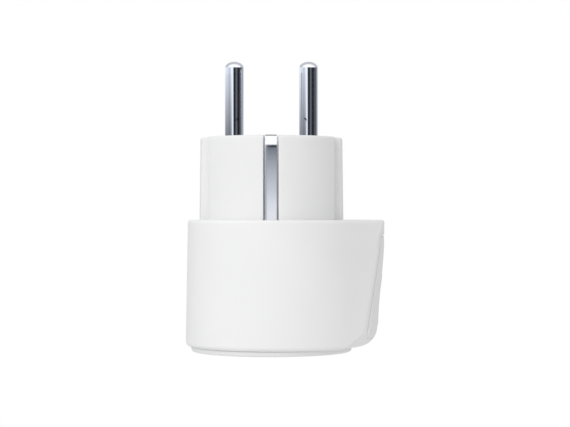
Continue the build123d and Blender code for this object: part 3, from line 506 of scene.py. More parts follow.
def stadium_outline(grow, middle):
    """The upright button's outline, grown for its window."""
    half = BUTTON_HALF_LONG - BUTTON_HALF_WIDE
    radius = BUTTON_HALF_WIDE + grow
    out = []
    for side in (1, -1):
        for k in range(25):
            t = -math.pi / 2 + math.pi * k / 24
            nz, ny = side * math.cos(t), -side * math.sin(t)
            out.append((radius * ny, middle + side * half + radius * nz, ny, nz))
    return out


def slab(outline, layers, middle, rings=7):
    """A closed slab on the end face. layers are (grow, depth) pairs from front to back."""
    shares = [0.04 + 0.96 * k / rings for k in range(rings)]

    def loop(grow, scale, depth):
        row = []
        for y, z, ny, nz in outline:
            yy = (y + ny * grow) * scale
            zz = middle + (z + nz * grow - middle) * scale
            inset = depth(yy, zz) if callable(depth) else depth
            row.append(end_point(yy, zz, inset))
        return row

    first_grow, first_depth = layers[0]
    last_grow, last_depth = layers[-1]
    rows = [loop(first_grow, share, first_depth) for share in shares]
    rows += [loop(grow, 1.0, depth) for grow, depth in layers]
    rows += [loop(last_grow, share, last_depth) for share in shares[::-1]]
    return closed_tube(rows)


def led_rings(profile, steps):
    """Rings about the status light's axis, from (radius, depth) pairs."""
    z = BUTTON_Z + LED_UP * math.cos(SLANT)
    normal = Vector((math.cos(SLANT), 0, -math.sin(SLANT)))
    up = Vector((math.sin(SLANT), 0, math.cos(SLANT)))
    across = Vector((0, 1, 0))
    base = Vector(end_point(0, z, 0))
    turns = [2 * math.pi * i / steps for i in range(steps)]
    return [[tuple(base - normal * d + across * (r * math.cos(t)) + up * (r * math.sin(t)))
             for t in turns] for r, d in profile]


def led_rod(radius, start, stop, flare=0.0):
    """A cylinder square to the face at the status light, from start to stop depth."""
    wide = radius + flare
    return closed_tube(led_rings([(wide, start), (wide, 0.0), (radius, flare), (radius, stop)], 32))


def make_housing():
    """The shell, with the panel's seat and the openings for button and light cut out."""
    points, faces = closed_grid(housing_rows(), wrap_rows=True)
    shell = make_piece("housing_body", points, faces, "housing", "white_shell", ["housing_shell"])
    soft = SEAT_SOFT
    layers = [(soft, -1.5), (soft, -0.01), (soft * 0.6, soft * 0.25), (0.03, soft * 0.7),
              (0.0, soft), (0.0, PANEL_SINK + PANEL_THICK + SEAT_PLAY)]
    seat = slab(panel_outline(SEAT_GAP, PANEL_CORNER + SEAT_GAP), layers, PANEL_MIDDLE)
    window = slab(stadium_outline(BUTTON_GAP, BUTTON_Z), [(0.0, 0.2), (0.0, 4.0)], BUTTON_Z)
    light = led_rod(LED_R + 0.1, -0.5, 4.0)
    combine(shell, [tool_piece(*t) for t in (seat, window, light)], "DIFFERENCE", 28.0)
    return shell


def make_panel():
    """The inset panel, a little flatter than the face around it."""
    def flatter(extra):
        def depth(y, z):
            return PANEL_SINK + extra - PANEL_RISE * (y / PANEL_HALF_BOTTOM) ** 2
        return depth

    layers = [(-inset, flatter(drop)) for inset, drop in quarter(PANEL_SOFT, 5)]
    layers.append((0.0, PANEL_SINK + PANEL_THICK))
    plate = slab(panel_outline(0.0, PANEL_CORNER), layers, PANEL_MIDDLE, rings=16)
    panel = make_piece("end_panel", *plate, "housing", "panel", ["side_panel"])
    flare = WINDOW_FLARE
    window = slab(stadium_outline(BUTTON_GAP, BUTTON_Z),
                  [(flare, -1.0), (flare, PANEL_SINK), (flare * 0.3, PANEL_SINK + flare * 0.4),
                   (0.0, PANEL_SINK + flare), (0.0, 3.0)], BUTTON_Z)
    light = led_rod(LED_R + 0.05, -0.6, 3.0, flare=0.1)
    combine(panel, [tool_piece(*t) for t in (window, light)], "DIFFERENCE", 28.0)
    return panel


def make_button():
    """The push button: dished front, softened edge and flat back."""
    def dished(extra):
        def depth(y, z):
            return extra - BUTTON_PROUD - BUTTON_DISH * ((z - BUTTON_Z) / BUTTON_HALF_LONG) ** 2
        return depth

    def flat_back(y, z):
        return BUTTON_BACK - y * y / (2 * END_R)

    layers = [(-inset, dished(drop)) for inset, drop in quarter(BUTTON_SOFT, 6)]
    layers += [(0.0, 1.2), (0.0, 2.6), (0.0, flat_back)]
    cap = slab(stadium_outline(0.0, BUTTON_Z), layers, BUTTON_Z, rings=12)
    return make_piece("press_button", *cap, "button", "button", ["button_cap"])


def make_lens():
    """The light guide: domed front, shaft and flange behind the panel."""
    profile = [(0.25, 0.02), (0.55, 0.05), (0.8, 0.1), (0.95, 0.2), (LED_R, 0.35), (LED_R, 2.5),
               (LED_R + 0.7, 2.5), (LED_R + 0.7, 3.3), (LED_R, 3.3), (LED_R, 4.85)]
    points, faces = closed_tube(led_rings(profile, 48))
    return make_piece("status_lens", points, faces, "housing", "clear", ["led_lens"])


# ==== plug body ====
def soft_corner(before, corner, after, distance, steps=4):
    """A short curve in place of a corner."""
    p, q, r = Vector(before), Vector(corner), Vector(after)
    a = q + (p - q).normalized() * distance
    b = q + (r - q).normalized() * distance
    out = []
    for k in range(steps + 1):
        t = k / steps
        v = a * (1 - t) ** 2 + q * 2 * t * (1 - t) + b * t * t
        out.append((v.x, v.y))
    return out


def nose_loop(z, arc_inset, flat_inset):
    """One closed loop around the plug body: tongues, notches and earth slots."""
    radius = NOSE_R - (z - HOUSING_TOP) * NOSE_DRAFT - arc_inset
    floor = NOTCH_X - flat_inset
    tongue = NOTCH_Y - flat_inset
    slot_half = SLOT_HALF + flat_inset
    slot_y = SLOT_Y - flat_inset

    def on_arc(angle):
        return radius * math.cos(angle), radius * math.sin(angle)

    tip = math.asin(tongue / radius)
    low = math.acos(floor / radius)
    high = math.acos(slot_half / radius)
    quad = [on_arc(tip * 0.9 * k / 8) for k in range(9)]
    quad += soft_corner(on_arc(tip * 0.9), on_arc(tip), (floor, tongue), 0.3)
    quad += soft_corner(on_arc(tip), (floor, tongue), (floor, 9.0), 0.25)
    first = floor, on_arc(low)[1]
    for k in range(1, 5):
        quad.append((floor, tongue + 0.25 + (first[1] - tongue - 0.6) * k / 5))
    arc_start = low + 0.35 / radius
    quad += soft_corner((floor, tongue), first, on_arc(arc_start + 0.02), 0.25)
    arc_stop = high - 0.3 / radius
    count = 36
    quad += [on_arc(arc_start + (arc_stop - arc_start) * k / count) for k in range(1, count)]
    quad += soft_corner(on_arc(arc_stop - 0.02), on_arc(high), (slot_half, slot_y), 0.14, 3)
    quad += [(slot_half, slot_y + 0.3), (slot_half, slot_y + 0.05), (slot_half - 0.05, slot_y)]
    quad += [(slot_half * 0.5, slot_y), (0.0, slot_y)]
    left = [(-x, y) for x, y in quad[-2::-1]]
    upper = quad + left
    lower = [(x, -y) for x, y in upper[-2:0:-1]]
    return [(x, y, z) for x, y in upper + lower]


def make_nose():
    """The plug body with its flange, hollow inside, with openings for pins and earth pin."""
    top = nose_high.z
    insets = []
    for arc, drop in quarter(NOSE_FILLET, 7):
        flat = 0.0
        if drop < FLAT_FILLET:
            flat = FLAT_FILLET - math.sqrt(FLAT_FILLET ** 2 - (FLAT_FILLET - drop) ** 2)
        insets.append((top - drop, arc, flat))
    start = LID_BOTTOM + 0.6
    rise = top - NOSE_FILLET - LID_BOTTOM - 0.6
    rows = [nose_loop(start + k * rise / 24, 0, 0) for k in range(24)]
    rows += [nose_loop(*row) for row in insets[::-1]]
    points, faces = closed_tube(rows)
    nose = make_piece("plug_body", points, faces, "housing", "white_nose", ["plug_nose"])
    lid_rows = [housing_loop(z, WALL + inset, END_WALL + inset)
                for z, inset in ((LID_BOTTOM, LID_GAP), (LID_TOP - LID_SOFT, LID_GAP),
                                 (LID_TOP - LID_SOFT * 0.3, LID_GAP + LID_SOFT * 0.3),
                                 (LID_TOP, LID_GAP + LID_SOFT))]
    combine(nose, [tool_piece(*closed_tube(lid_rows))], "UNION")
    edge = math.acos(CAVITY_HALF / CAVITY_R)
    turns = [edge + (math.pi - 2 * edge) * k / 32 for k in range(33)]
    plan = [(CAVITY_R * math.cos(t), CAVITY_R * math.sin(t)) for t in turns]
    plan += [(-x, -y) for x, y in plan]
    cavity_rows = [[(x, y, z) for x, y in plan] for z in (LID_BOTTOM - 1, CAVITY_TOP)]
    tools = [tool_piece(*closed_tube(cavity_rows))]
    flare = [(0.0, 50.0), (2.43, 50.0), (2.43, top - 0.12), (2.47, top - 0.04),
             (2.56, top + 0.02), (2.56, top + 1), (0.0, top + 1)]
    tools += [tool_piece(*lathe(flare, x, 0, 64)) for x in (pin_centre, -pin_centre)]
    flare = [(0.0, 50.0), (2.7, 50.0), (2.7, top - 0.3), (2.78, top - 0.1), (3.0, top + 0.02),
             (3.0, top + 1), (0.0, top + 1)]
    tools.append(tool_piece(*lathe(flare, 0, EARTH_HOLE_Y, 64)))
    combine(nose, tools, "DIFFERENCE", 30.0)
    return nose


def make_pin(name, x, node):
    """A plug pin with its collar inside the plug body and a rounded tip."""
    tip = pin_high.z
    face = nose_high.z
    profile = [(0.0, 45.0), (1.3, 45.0), (1.5, 45.2), (1.5, 47.4), (2.2, 47.4), (2.2, 49.4),
               (3.2, 49.4), (3.2, 50.4), (2.2, 50.4), (2.2, face - 0.4),
               (PIN_R - 0.04, face - 0.25), (PIN_R, face - 0.15)]
    level = face
    while level < tip - PIN_CROWN - 1.0:
        profile.append((PIN_R, level))
        level += 1.0
    for k in range(24):
        t = math.pi / 2 * k / 24
        profile.append((PIN_R * math.cos(t), tip - PIN_CROWN + PIN_CROWN * math.sin(t)))
    profile.append((0.0, tip))
    points, faces = lathe(profile, x, 0, 96)
    return make_piece(name, points, faces, "housing", "pin_metal", [node])


def roll_points(end, before, roll):
    """Points from a strip's end inwards, close enough together to round the end off."""
    run = (Vector(before) - Vector(end)).normalized()
    return [tuple(Vector(end) + run * roll * (1 - math.cos(math.pi / 2 * k / 6)))
            for k in range(7)]


def bent_strip(name, path, side, width, thickness, edge, node, roll):
    """A sheet-metal strip along a path of (y, z) points, with softened edges and ends."""
    path = (roll_points(path[0], path[1], roll) + path[1:-1]
            + roll_points(path[-1], path[-2], roll)[::-1])
    ring = []
    half_w, half_t = width / 2, thickness / 2
    for sx, st, start in ((1, 1, 0), (-1, 1, 90), (-1, -1, 180), (1, -1, 270)):
        for k in range(5):
            a = math.radians(start + 90 * k / 4)
            ring.append((sx * (half_w - edge) + edge * math.cos(a),
                         st * (half_t - edge) + edge * math.sin(a)))
    rows = []
    count = len(path)
    for i, (y, z) in enumerate(path):
        a = Vector(path[max(i - 1, 0)])
        b = Vector(path[min(i + 1, count - 1)])
        run = (b - a).normalized()
        normal = Vector((run.y, -run.x))
        from_end = min(math.dist((y, z), path[0]), math.dist((y, z), path[-1]))
        inward = max(roll - from_end, 0.0)
        pull = roll - math.sqrt(roll ** 2 - inward ** 2)
        row = []
        for u, v in ring:
            p = Vector((y, z)) + normal * v * (1 - pull / half_t)
            row.append((u * (1 - pull / half_w), side * p.x, p.y))
        rows.append(row)
    points, faces = closed_tube(rows)
    return make_piece(name, points, faces, "housing", "earth_metal", [node], 35.0)


def smooth_path(knots):
    """Catmull-Rom points through the knots."""
    out = []
    for i in range(len(knots) - 1):
        p0, p1 = Vector(knots[max(i - 1, 0)]), Vector(knots[i])
        p2, p3 = Vector(knots[i + 1]), Vector(knots[min(i + 2, len(knots) - 1)])
        for k in range(6):
            t = k / 6
            v = 0.5 * (2 * p1 + (p2 - p0) * t + (2 * p0 - 5 * p1 + 4 * p2 - p3) * t * t
                       + (3 * p1 - p0 - 3 * p2 + p3) * t ** 3)
            out.append((v.x, v.y))
    out.append(tuple(knots[-1]))
    return out


def make_earth_strips():
    """The plug's two earth strips, bent inwards at their tops."""
    middle = -strip_low.y - STRIP_THICK / 2
    top = strip_high.z + 0.35
    knee = strip_high.z - 1.82
    start, straight = 30.0, 34.0
    path = [(middle - 0.1, strip_low.z), (middle, strip_low.z + 2), (middle, start)]
    for k in range(1, 25):
        z = start + (knee - 0.16 - start) * k / 24
        f = max(0.0, (z - straight) / (knee - straight))
        path.append((middle - STRIP_BOW * f * f, z))
    y0 = middle - STRIP_BOW
    path += [(y0 - 0.02, knee - 0.04), (y0 - 0.07, knee + 0.1), (y0 - 0.15, knee + 0.28),
             (y0 - 0.4, knee + 0.85), (y0 - 0.9, top - 0.02)]
    width = strip_high.x - strip_low.x
    sides = (("earth_strip_a", -1, "earth_strip_front"), ("earth_strip_b", 1, "earth_strip_back"))
    return [bent_strip(name, path, side, width, STRIP_THICK, STRIP_SOFT, node, STRIP_ROLL)
            for name, side, node in sides]


def make_earth_clips():
    """The socket's two earth clips, bowed into the cup."""
    back = 19.25
    bulge = 17.1
    half = CLIP_THICK / 2
    knots = [(back - 1.0 + half, clip_high.z), (back - 1.0 + half, 20.4),
             (back - 0.4 + half, 16.6), (bulge + 1.2 + half, 12.6), (bulge + 0.5 + half, 9.5),
             (bulge + 0.5 + half, 7.5), (bulge + 1.2 + half, 5.0), (back - 0.2 + half, 2.65)]
    path = smooth_path(knots)
    sides = (("earth_clip_a", -1, "earth_clip_front"), ("earth_clip_b", 1, "earth_clip_back"))
    return [bent_strip(name, path, side, CLIP_WIDTH, CLIP_THICK, CLIP_SOFT, node, CLIP_ROLL)
            for name, side, node in sides]


# ==== socket ====
def clip_slots(low, high):
    """Tools for the two openings in which the earth clips stand."""
    plan = ((2.3, 17.4), (2.3, 23), (-2.3, 23), (-2.3, 17.4))
    return [tool_piece(*closed_tube([[(x, side * y, z) for x, y in plan] for z in (low, high)]))
            for side in (1, -1)]


def rib_tool(sx, sy, top):
    """One guide rib inside the cup, rounded and led in at its lower end."""
    plan = []
    for cx, cy, first in ((19.3, 8.4, 0), (17.2, 8.4, 90), (17.2, 5.4, 180), (19.3, 5.4, 270)):
        for k in range(5):
            a = math.radians(first + 90 * k / 4)
            plan.append((sx * (cx + RIB_SOFT * math.cos(a)), sy * (cy + RIB_SOFT * math.sin(a))))
    plan = [(x, y) if math.hypot(x, y) < RIB_REACH else
            (x * RIB_REACH / math.hypot(x, y), y * RIB_REACH / math.hypot(x, y)) for x, y in plan]
    mid_x, mid_y = sx * 18.2, sy * 6.9
    lead_in = ((0.8, 1.5), (0.9, 1.56), (0.97, 1.75), (1.0, 2.1), (1.0, top - 0.01))
    rows = [[(mid_x + (x - mid_x) * f, mid_y + (y - mid_y) * f, z) for x, y in plan]
            for f, z in lead_in]
    return tool_piece(*closed_tube(rows))


def make_socket():
    """The socket's round wall with its rim, guide ribs and clip openings."""
    rim_r = face_high.x
    depth = face_high.z
    bore = CUP_BORE_R
    profile = [(bore, depth), (bore, 0.3), (bore + 0.1, 0.12), (bore + 0.3, 0.0)]
    profile += [(rim_r - inset, drop) for inset, drop in quarter(0.7, 7)]
    profile += [(rim_r, 1.18), (rim_r - 0.12, 1.3), (CUP_R, 1.3), (CUP_R, depth)]
    points, faces = lathe(profile, 0, 0, 192, wrap_rows=True)
    cup = make_piece("socket_wall", points, faces, "housing", "white_socket", ["socket_face"])
    ribs = [rib_tool(sx, sy, depth) for sx in (1, -1) for sy in (1, -1)]
    combine(cup, ribs, "UNION", 30.0)
    combine(cup, clip_slots(2.2, depth + 1), "DIFFERENCE", 30.0)
    return cup


def make_socket_floor():
    """The socket's floor with its pivot, posts, pin holes and clip openings."""
    low, high = floor_low.z, floor_low.z + 2.0
    profile = [(0.0, low), (6.0, low), (12.0, low), (19.9, low), (20.1, low + 0.2),
               (20.1, high - 0.2), (19.9, high), (12.0, high), (1.2, high), (1.2, 23.1),
               (1.05, 23.25), (0.0, 23.25)]
    floor = make_piece("socket_base", *lathe(profile, 0, 0, 128), "housing", "white_socket",
                       ["socket_floor"])
    post = [(0.0, high - 0.5), (1.1, high - 0.5), (1.1, 23.15), (1.0, 23.3), (0.0, 23.3)]
    turns = [math.radians(angle) for angle in (60, 120, 240, 300)]
    posts = [tool_piece(*lathe(post, 13.8 * math.cos(t), 13.8 * math.sin(t), 24)) for t in turns]
    combine(floor, posts, "UNION", 30.0)
    flare = [(0.0, low - 1), (3.35, low - 1), (3.35, low - 0.01), (3.05, low + 0.12),
             (2.84, low + 0.35), (2.75, low + 0.6), (2.75, high + 1), (0.0, high + 1)]
    tools = [tool_piece(*lathe(flare, x, 0, 64)) for x in (pin_centre, -pin_centre)]
    combine(floor, tools + clip_slots(low - 1, high + 1), "DIFFERENCE", 30.0)
    return floor


# ==== materials ====
FULL = (1.0, 1.0, 1.0)
BLACK = (0.0, 0.0, 0.0)


def start_material(name):
    """A material with object coordinates; returns it with its tree and shader."""
    material = bpy.data.materials.new(name)
    material.use_nodes = True
    tree = material.node_tree
    shader = tree.nodes["Principled BSDF"]
    place = tree.nodes.new("ShaderNodeTexCoord")
    return material, tree, shader, place.outputs["Object"]


def noise(tree, place, scale, detail=2.0, stretch=None):
    """A noise value; stretch squeezes the pattern along an axis."""
    if stretch:
        mapping = tree.nodes.new("ShaderNodeMapping")
        mapping.inputs["Scale"].default_value = stretch
        tree.links.new(place, mapping.inputs["Vector"])
        place = mapping.outputs["Vector"]
    node = tree.nodes.new("ShaderNodeTexNoise")
    node.inputs["Scale"].default_value = scale
    node.inputs["Detail"].default_value = detail
    tree.links.new(place, node.inputs["Vector"])
    return node.outputs["Fac"]


def ramp(tree, value, stops):
    """A colour ramp from (position, colour) stops."""
    node = tree.nodes.new("ShaderNodeValToRGB")
    while len(node.color_ramp.elements) < len(stops):
        node.color_ramp.elements.new(0.5)
    for element, (position, colour) in zip(node.color_ramp.elements, stops):
        element.position = position
        element.color = (*colour, 1.0)
    tree.links.new(value, node.inputs["Fac"])
    return node.outputs["Color"]


def map_range(tree, value, source, target=(0.0, 1.0)):
    """The value carried from the source range to the target range."""
    node = tree.nodes.new("ShaderNodeMapRange")
    names = ("From Min", "From Max", "To Min", "To Max")
    for name, level in zip(names, (*source, *target)):
        node.inputs[name].default_value = level
    tree.links.new(value, node.inputs["Value"])
    return node.outputs["Result"]


def remap(tree, value, low, high):
    """A noise value, which mostly lies between 0.3 and 0.7, stretched between two numbers."""
    return map_range(tree, value, (0.3, 0.7), (low, high))


def math_node(tree, operation, *values):
    """The result of a math node fed with sockets and plain numbers."""
    node = tree.nodes.new("ShaderNodeMath")
    node.operation = operation
    for socket, value in zip(node.inputs, values):
        if isinstance(value, float):
            socket.default_value = value
        else:
            tree.links.new(value, socket)
    return node.outputs[0]


def towards_colour(tree, factor, base, colour):
    """The base colour turned towards a fixed colour where the factor is high."""
    node = tree.nodes.new("ShaderNodeMix")
    node.data_type = "RGBA"
    node.inputs["B"].default_value = (*colour, 1.0)
    tree.links.new(base, node.inputs["A"])
    tree.links.new(factor, node.inputs["Factor"])
    return node.outputs["Result"]


def bump(tree, shader, value, strength, distance, under=None):
    """Relief on the shader's normal; distance is in metres."""
    node = tree.nodes.new("ShaderNodeBump")
    node.inputs["Strength"].default_value = strength
    node.inputs["Distance"].default_value = distance
    tree.links.new(value, node.inputs["Height"])
    if under:
        tree.links.new(under, node.inputs["Normal"])
    tree.links.new(node.outputs["Normal"], shader.inputs["Normal"])
    return node.outputs["Normal"]


def shade(colour, factor):
    """The colour made darker or lighter."""
    return tuple(min(1.0, c * factor) for c in colour)


def moulded_plastic(name, colour, rough, grain=2600.0, relief=0.12, vary=0.02, coat=0.0):
    """Moulded plastic: spark-eroded grain, slight flow variation, uneven sheen, and a painted
    highlight that lightens convex edges.
    """
    material, tree, shader, place = start_material(name)
    flow = noise(tree, place, 55.0, 3.0)
    base = ramp(tree, flow, [(0.3, shade(colour, 1 - vary)), (0.7, shade(colour, 1 + vary * 0.5))])
    # Convex edges, found by pointiness, are painted lighter: a painted edge highlight.
    shape = tree.nodes.new("ShaderNodeNewGeometry")
    edge = ramp(tree, shape.outputs["Pointiness"],
                [(0.5, BLACK), (0.6, FULL)])
    edge_highlight_share = math_node(tree, "MULTIPLY", edge, 0.5)
    edge_highlighted_colour = towards_colour(tree, edge_highlight_share, base, shade(colour, 1.04))
    tree.links.new(edge_highlighted_colour, shader.inputs["Base Color"])
    sheen_spots = noise(tree, place, 420.0, 4.0)
    tree.links.new(remap(tree, sheen_spots, rough - 0.05, rough + 0.05), shader.inputs["Roughness"])
    shader.inputs["IOR"].default_value = 1.49
    if coat:
        shader.inputs["Coat Weight"].default_value = coat
        shader.inputs["Coat Roughness"].default_value = 0.2
    coarse = bump(tree, shader, noise(tree, place, 300.0, 2.0), 0.05, 0.00002)
    bump(tree, shader, noise(tree, place, grain, 2.0), relief, 0.00001, coarse)
    return material


def worked_metal(name, colour, rough, lines=(1.0, 1.0, 0.02), scale=9000.0, relief=0.04,
                 tarnish=0.06):
    """Plated or rolled metal: drawn lines, faint cloudy tarnish, uneven polish."""
    material, tree, shader, place = start_material(name)
    shader.inputs["Metallic"].default_value = 1.0
    cloud = noise(tree, place, 160.0, 5.0)
    base = ramp(tree, cloud, [(0.3, shade(colour, 1 - tarnish)), (0.65, colour)])
    tree.links.new(base, shader.inputs["Base Color"])
    drawn = noise(tree, place, scale, 3.0, lines)
    tree.links.new(remap(tree, drawn, rough * 0.8, rough * 1.25), shader.inputs["Roughness"])
    bump(tree, shader, drawn, relief, 0.000004)
    return material


def circuit_board(name, colour):
    """Solder mask over copper tracks, with bright pads."""
    material, tree, shader, place = start_material(name)
    cells = tree.nodes.new("ShaderNodeTexVoronoi")
    cells.feature = "DISTANCE_TO_EDGE"
    cells.inputs["Scale"].default_value = 330.0
    tree.links.new(place, cells.inputs["Vector"])
    tracks = ramp(tree, cells.outputs["Distance"],
                  [(0.0, shade(colour, 1.9)), (0.08, shade(colour, 1.7)), (0.1, colour)])
    pads = tree.nodes.new("ShaderNodeTexVoronoi")
    pads.inputs["Scale"].default_value = 420.0
    tree.links.new(place, pads.inputs["Vector"])
    dots = ramp(tree, pads.outputs["Distance"], [(0.13, FULL), (0.15, BLACK)])
    mix = towards_colour(tree, dots, tracks, SOLDER)
    tree.links.new(mix, shader.inputs["Base Color"])
    tree.links.new(remap(tree, noise(tree, place, 900.0), 0.25, 0.42), shader.inputs["Roughness"])
    bump(tree, shader, cells.outputs["Distance"], 0.1, 0.00004)
    return material


def wound_wire(name, colour, turns):
    """Enamelled wire laid side by side, with painted shade in the grooves between turns."""
    material, tree, shader, place = start_material(name)
    shader.inputs["Metallic"].default_value = 0.6
    wave = tree.nodes.new("ShaderNodeTexWave")
    wave.inputs["Scale"].default_value = turns
    wave.inputs["Distortion"].default_value = 0.4
    tree.links.new(place, wave.inputs["Vector"])
    # Darker towards the grooves between turns: painted shade in the creases.
    base = ramp(tree, wave.outputs["Fac"], [(0.0, shade(colour, 0.35)), (0.5, colour)])
    tree.links.new(base, shader.inputs["Base Color"])
    tree.links.new(remap(tree, noise(tree, place, 800.0), 0.28, 0.4), shader.inputs["Roughness"])
    bump(tree, shader, wave.outputs["Fac"], 0.6, 0.00008)
    return material


def clear_guide(name, colour):
    """Frosted clear plastic with faint swirls."""
    material, tree, shader, place = start_material(name)
    swirl = noise(tree, place, 700.0, 4.0)
    base = ramp(tree, swirl, [(0.3, shade(colour, 0.93)), (0.7, colour)])
    tree.links.new(base, shader.inputs["Base Color"])
    shader.inputs["Transmission Weight"].default_value = 0.6
    shader.inputs["IOR"].default_value = 1.49
    tree.links.new(remap(tree, swirl, 0.12, 0.24), shader.inputs["Roughness"])
    bump(tree, shader, swirl, 0.05, 0.00002)
    return material


WHITE = (0.80, 0.80, 0.80)
SOLDER = (0.72, 0.70, 0.62)
MATERIALS = {
    "white_shell": moulded_plastic("white_shell", WHITE, 0.42),
    "white_nose": moulded_plastic("white_nose", shade(WHITE, 0.985), 0.4, grain=2200.0),
    "white_socket": moulded_plastic("white_socket", shade(WHITE, 0.975), 0.4, grain=2400.0),
    "panel": moulded_plastic("panel", shade(WHITE, 0.97), 0.34, grain=3200.0),
    "button": moulded_plastic("button", shade(WHITE, 0.93), 0.38, grain=3600.0),
    "shutter_plastic": moulded_plastic("shutter_plastic", shade(WHITE, 0.95), 0.36),
    "inner_plastic": moulded_plastic("inner_plastic", (0.10, 0.10, 0.11), 0.5, relief=0.25,
                                     vary=0.15),
    "chip": moulded_plastic("chip", (0.02, 0.02, 0.022), 0.45, relief=0.2, vary=0.2),
    "relay_case": moulded_plastic("relay_case", (0.02, 0.05, 0.16), 0.32, vary=0.1),
    "film": moulded_plastic("film", (0.62, 0.45, 0.05), 0.38, vary=0.08),
    "varistor": moulded_plastic("varistor", (0.03, 0.09, 0.30), 0.3, relief=0.3, vary=0.12,
                                coat=0.3),
    "resistor": moulded_plastic("resistor", (0.30, 0.38, 0.27), 0.6, relief=0.4, vary=0.12),
    "ferrite": moulded_plastic("ferrite", (0.035, 0.032, 0.032), 0.55, relief=0.4, vary=0.2),
    "wire": moulded_plastic("wire", (0.42, 0.03, 0.03), 0.4, grain=1600.0, vary=0.08),
    "can": worked_metal("can", (0.12, 0.13, 0.19), 0.3, lines=(1.0, 1.0, 0.05)),
    "pin_metal": worked_metal("pin_metal", (0.86, 0.88, 0.92), 0.07, relief=0.02),
    "earth_metal": worked_metal("earth_metal", (0.84, 0.86, 0.92), 0.1, relief=0.03),
    "contact_metal": worked_metal("contact_metal", (0.80, 0.60, 0.30), 0.26, tarnish=0.15),
    "iron": worked_metal("iron", (0.52, 0.53, 0.55), 0.34, tarnish=0.15),
    "steel": worked_metal("steel", (0.60, 0.61, 0.63), 0.3, lines=(0.1, 1.0, 1.0)),
    "shield": worked_metal("shield", (0.66, 0.67, 0.68), 0.28, lines=(0.02, 1.0, 1.0)),
    "copper_winding": wound_wire("copper_winding", (0.60, 0.24, 0.09), 480.0),
    "board": circuit_board("board", (0.02, 0.13, 0.05)),
    "clear": clear_guide("clear", (0.90, 0.93, 0.96)),
}


def dress(piece, slot):
    """Gives a piece its slot's material and nothing else."""
    piece.data.materials.clear()
    piece.data.materials.append(MATERIALS[slot])


# ==== the object ====
built = [make_housing(), make_panel(), make_button(), make_lens(), make_nose(),
         make_pin("pin_a", pin_centre, "pin_live"), make_pin("pin_b", -pin_centre, "pin_neutral"),
         make_socket(), make_socket_floor()]
built += make_earth_strips() + make_earth_clips()
for piece in built:
    dress(piece, piece["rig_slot"])
replaced = {name for piece in built for name in piece["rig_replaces"]}
for row in frame["record"]["subparts"]:
    if row["node"] not in replaced:
        node = frame["nodes"][row["node"]]
        dress(node, row["material_slot"])
        for polygon in node.data.polygons:
            polygon.use_smooth = True
        node.data.set_sharp_from_angle(angle=math.radians(30))


# ==== stage, light and camera ====
# Everything on the stage is in metres.
FLOOR_SIZE = 3.0
FLOOR_Z = -0.00005
BACKDROP_R = 2.9
BACKDROP_LOW = -0.0001
BACKDROP_TOP = 4.0
BACKDROP_STEPS = 48
DOME_R = 1.3
CARD_LEVEL = 0.06


def glow(name, colour, strength):
    """A plain emitting stage material."""
    material = bpy.data.materials.new(name)
    material.use_nodes = True
    tree = material.node_tree
    tree.nodes.remove(tree.nodes["Principled BSDF"])
    emission = tree.nodes.new("ShaderNodeEmission")
    emission.inputs["Color"].default_value = (*colour, 1.0)
    emission.inputs["Strength"].default_value = strength
    tree.links.new(emission.outputs[0], tree.nodes["Material Output"].inputs["Surface"])
    return material


def graded_glow(name):
    """A glow to be graded: its material, tree, emission node and split coordinates."""
    material = glow(name, FULL, 1.0)
    tree = material.node_tree
    emission = next(n for n in tree.nodes if n.type == "EMISSION")
    place = tree.nodes.new("ShaderNodeTexCoord")
    split = tree.nodes.new("ShaderNodeSeparateXYZ")
    tree.links.new(place.outputs["Object"], split.inputs[0])
    return material, tree, emission, split.outputs


def stage_mesh(name, points, faces, material, seen_by):
    """A stage surface in metres, seen by the "camera" or in "reflections" and nothing else."""
    mesh = bpy.data.meshes.new(name)
    mesh.from_pydata(points, [], faces)
    mesh.materials.append(material)
    piece = bpy.data.objects.new(name, mesh)
    scene.collection.objects.link(piece)
    piece.visible_shadow = False
    piece.visible_diffuse = False
    piece.visible_transmission = False
    piece.visible_camera = seen_by == "camera"
    piece.visible_glossy = seen_by == "reflections"
    return piece


square = ((-1, -1), (1, -1), (1, 1), (-1, 1))
floor_points = [(x * FLOOR_SIZE, y * FLOOR_SIZE, FLOOR_Z) for x, y in square]
stage_mesh("floor", floor_points, [(0, 1, 2, 3)], glow("floor_white", FULL, 1.0), "camera")
wall = []
for z in (BACKDROP_LOW, BACKDROP_TOP):
    for k in range(BACKDROP_STEPS):
        a = 2 * math.pi * k / BACKDROP_STEPS
        wall.append((BACKDROP_R * math.cos(a), BACKDROP_R * math.sin(a), z))
wall.append((0, 0, BACKDROP_TOP))
wall_faces = []
for k in range(BACKDROP_STEPS):
    after = (k + 1) % BACKDROP_STEPS
    upper, upper_after = BACKDROP_STEPS + k, BACKDROP_STEPS + after
    wall_faces.append((k, after, upper_after, upper))
    wall_faces.append((upper, upper_after, 2 * BACKDROP_STEPS))
stage_mesh("backdrop", wall, wall_faces, glow("backdrop_white", FULL, 1.0), "camera")

# What the pins mirror, by azimuth: brightness left to right around the camera's side.
SURROUND = [(-150, 0.95), (-118, 0.62), (-92, 0.66), (-76, 0.56), (-62, 0.46), (-48, 0.56),
            (-36, 0.72), (-24, 1.15), (-16, 0.95), (-6, 0.01), (6, 0.012), (14, 0.06),
            (26, 0.19), (38, 0.07), (50, 0.008), (58, 0.012), (70, 0.07), (84, 0.11),
            (104, 0.15), (122, 0.42), (150, 1.0)]


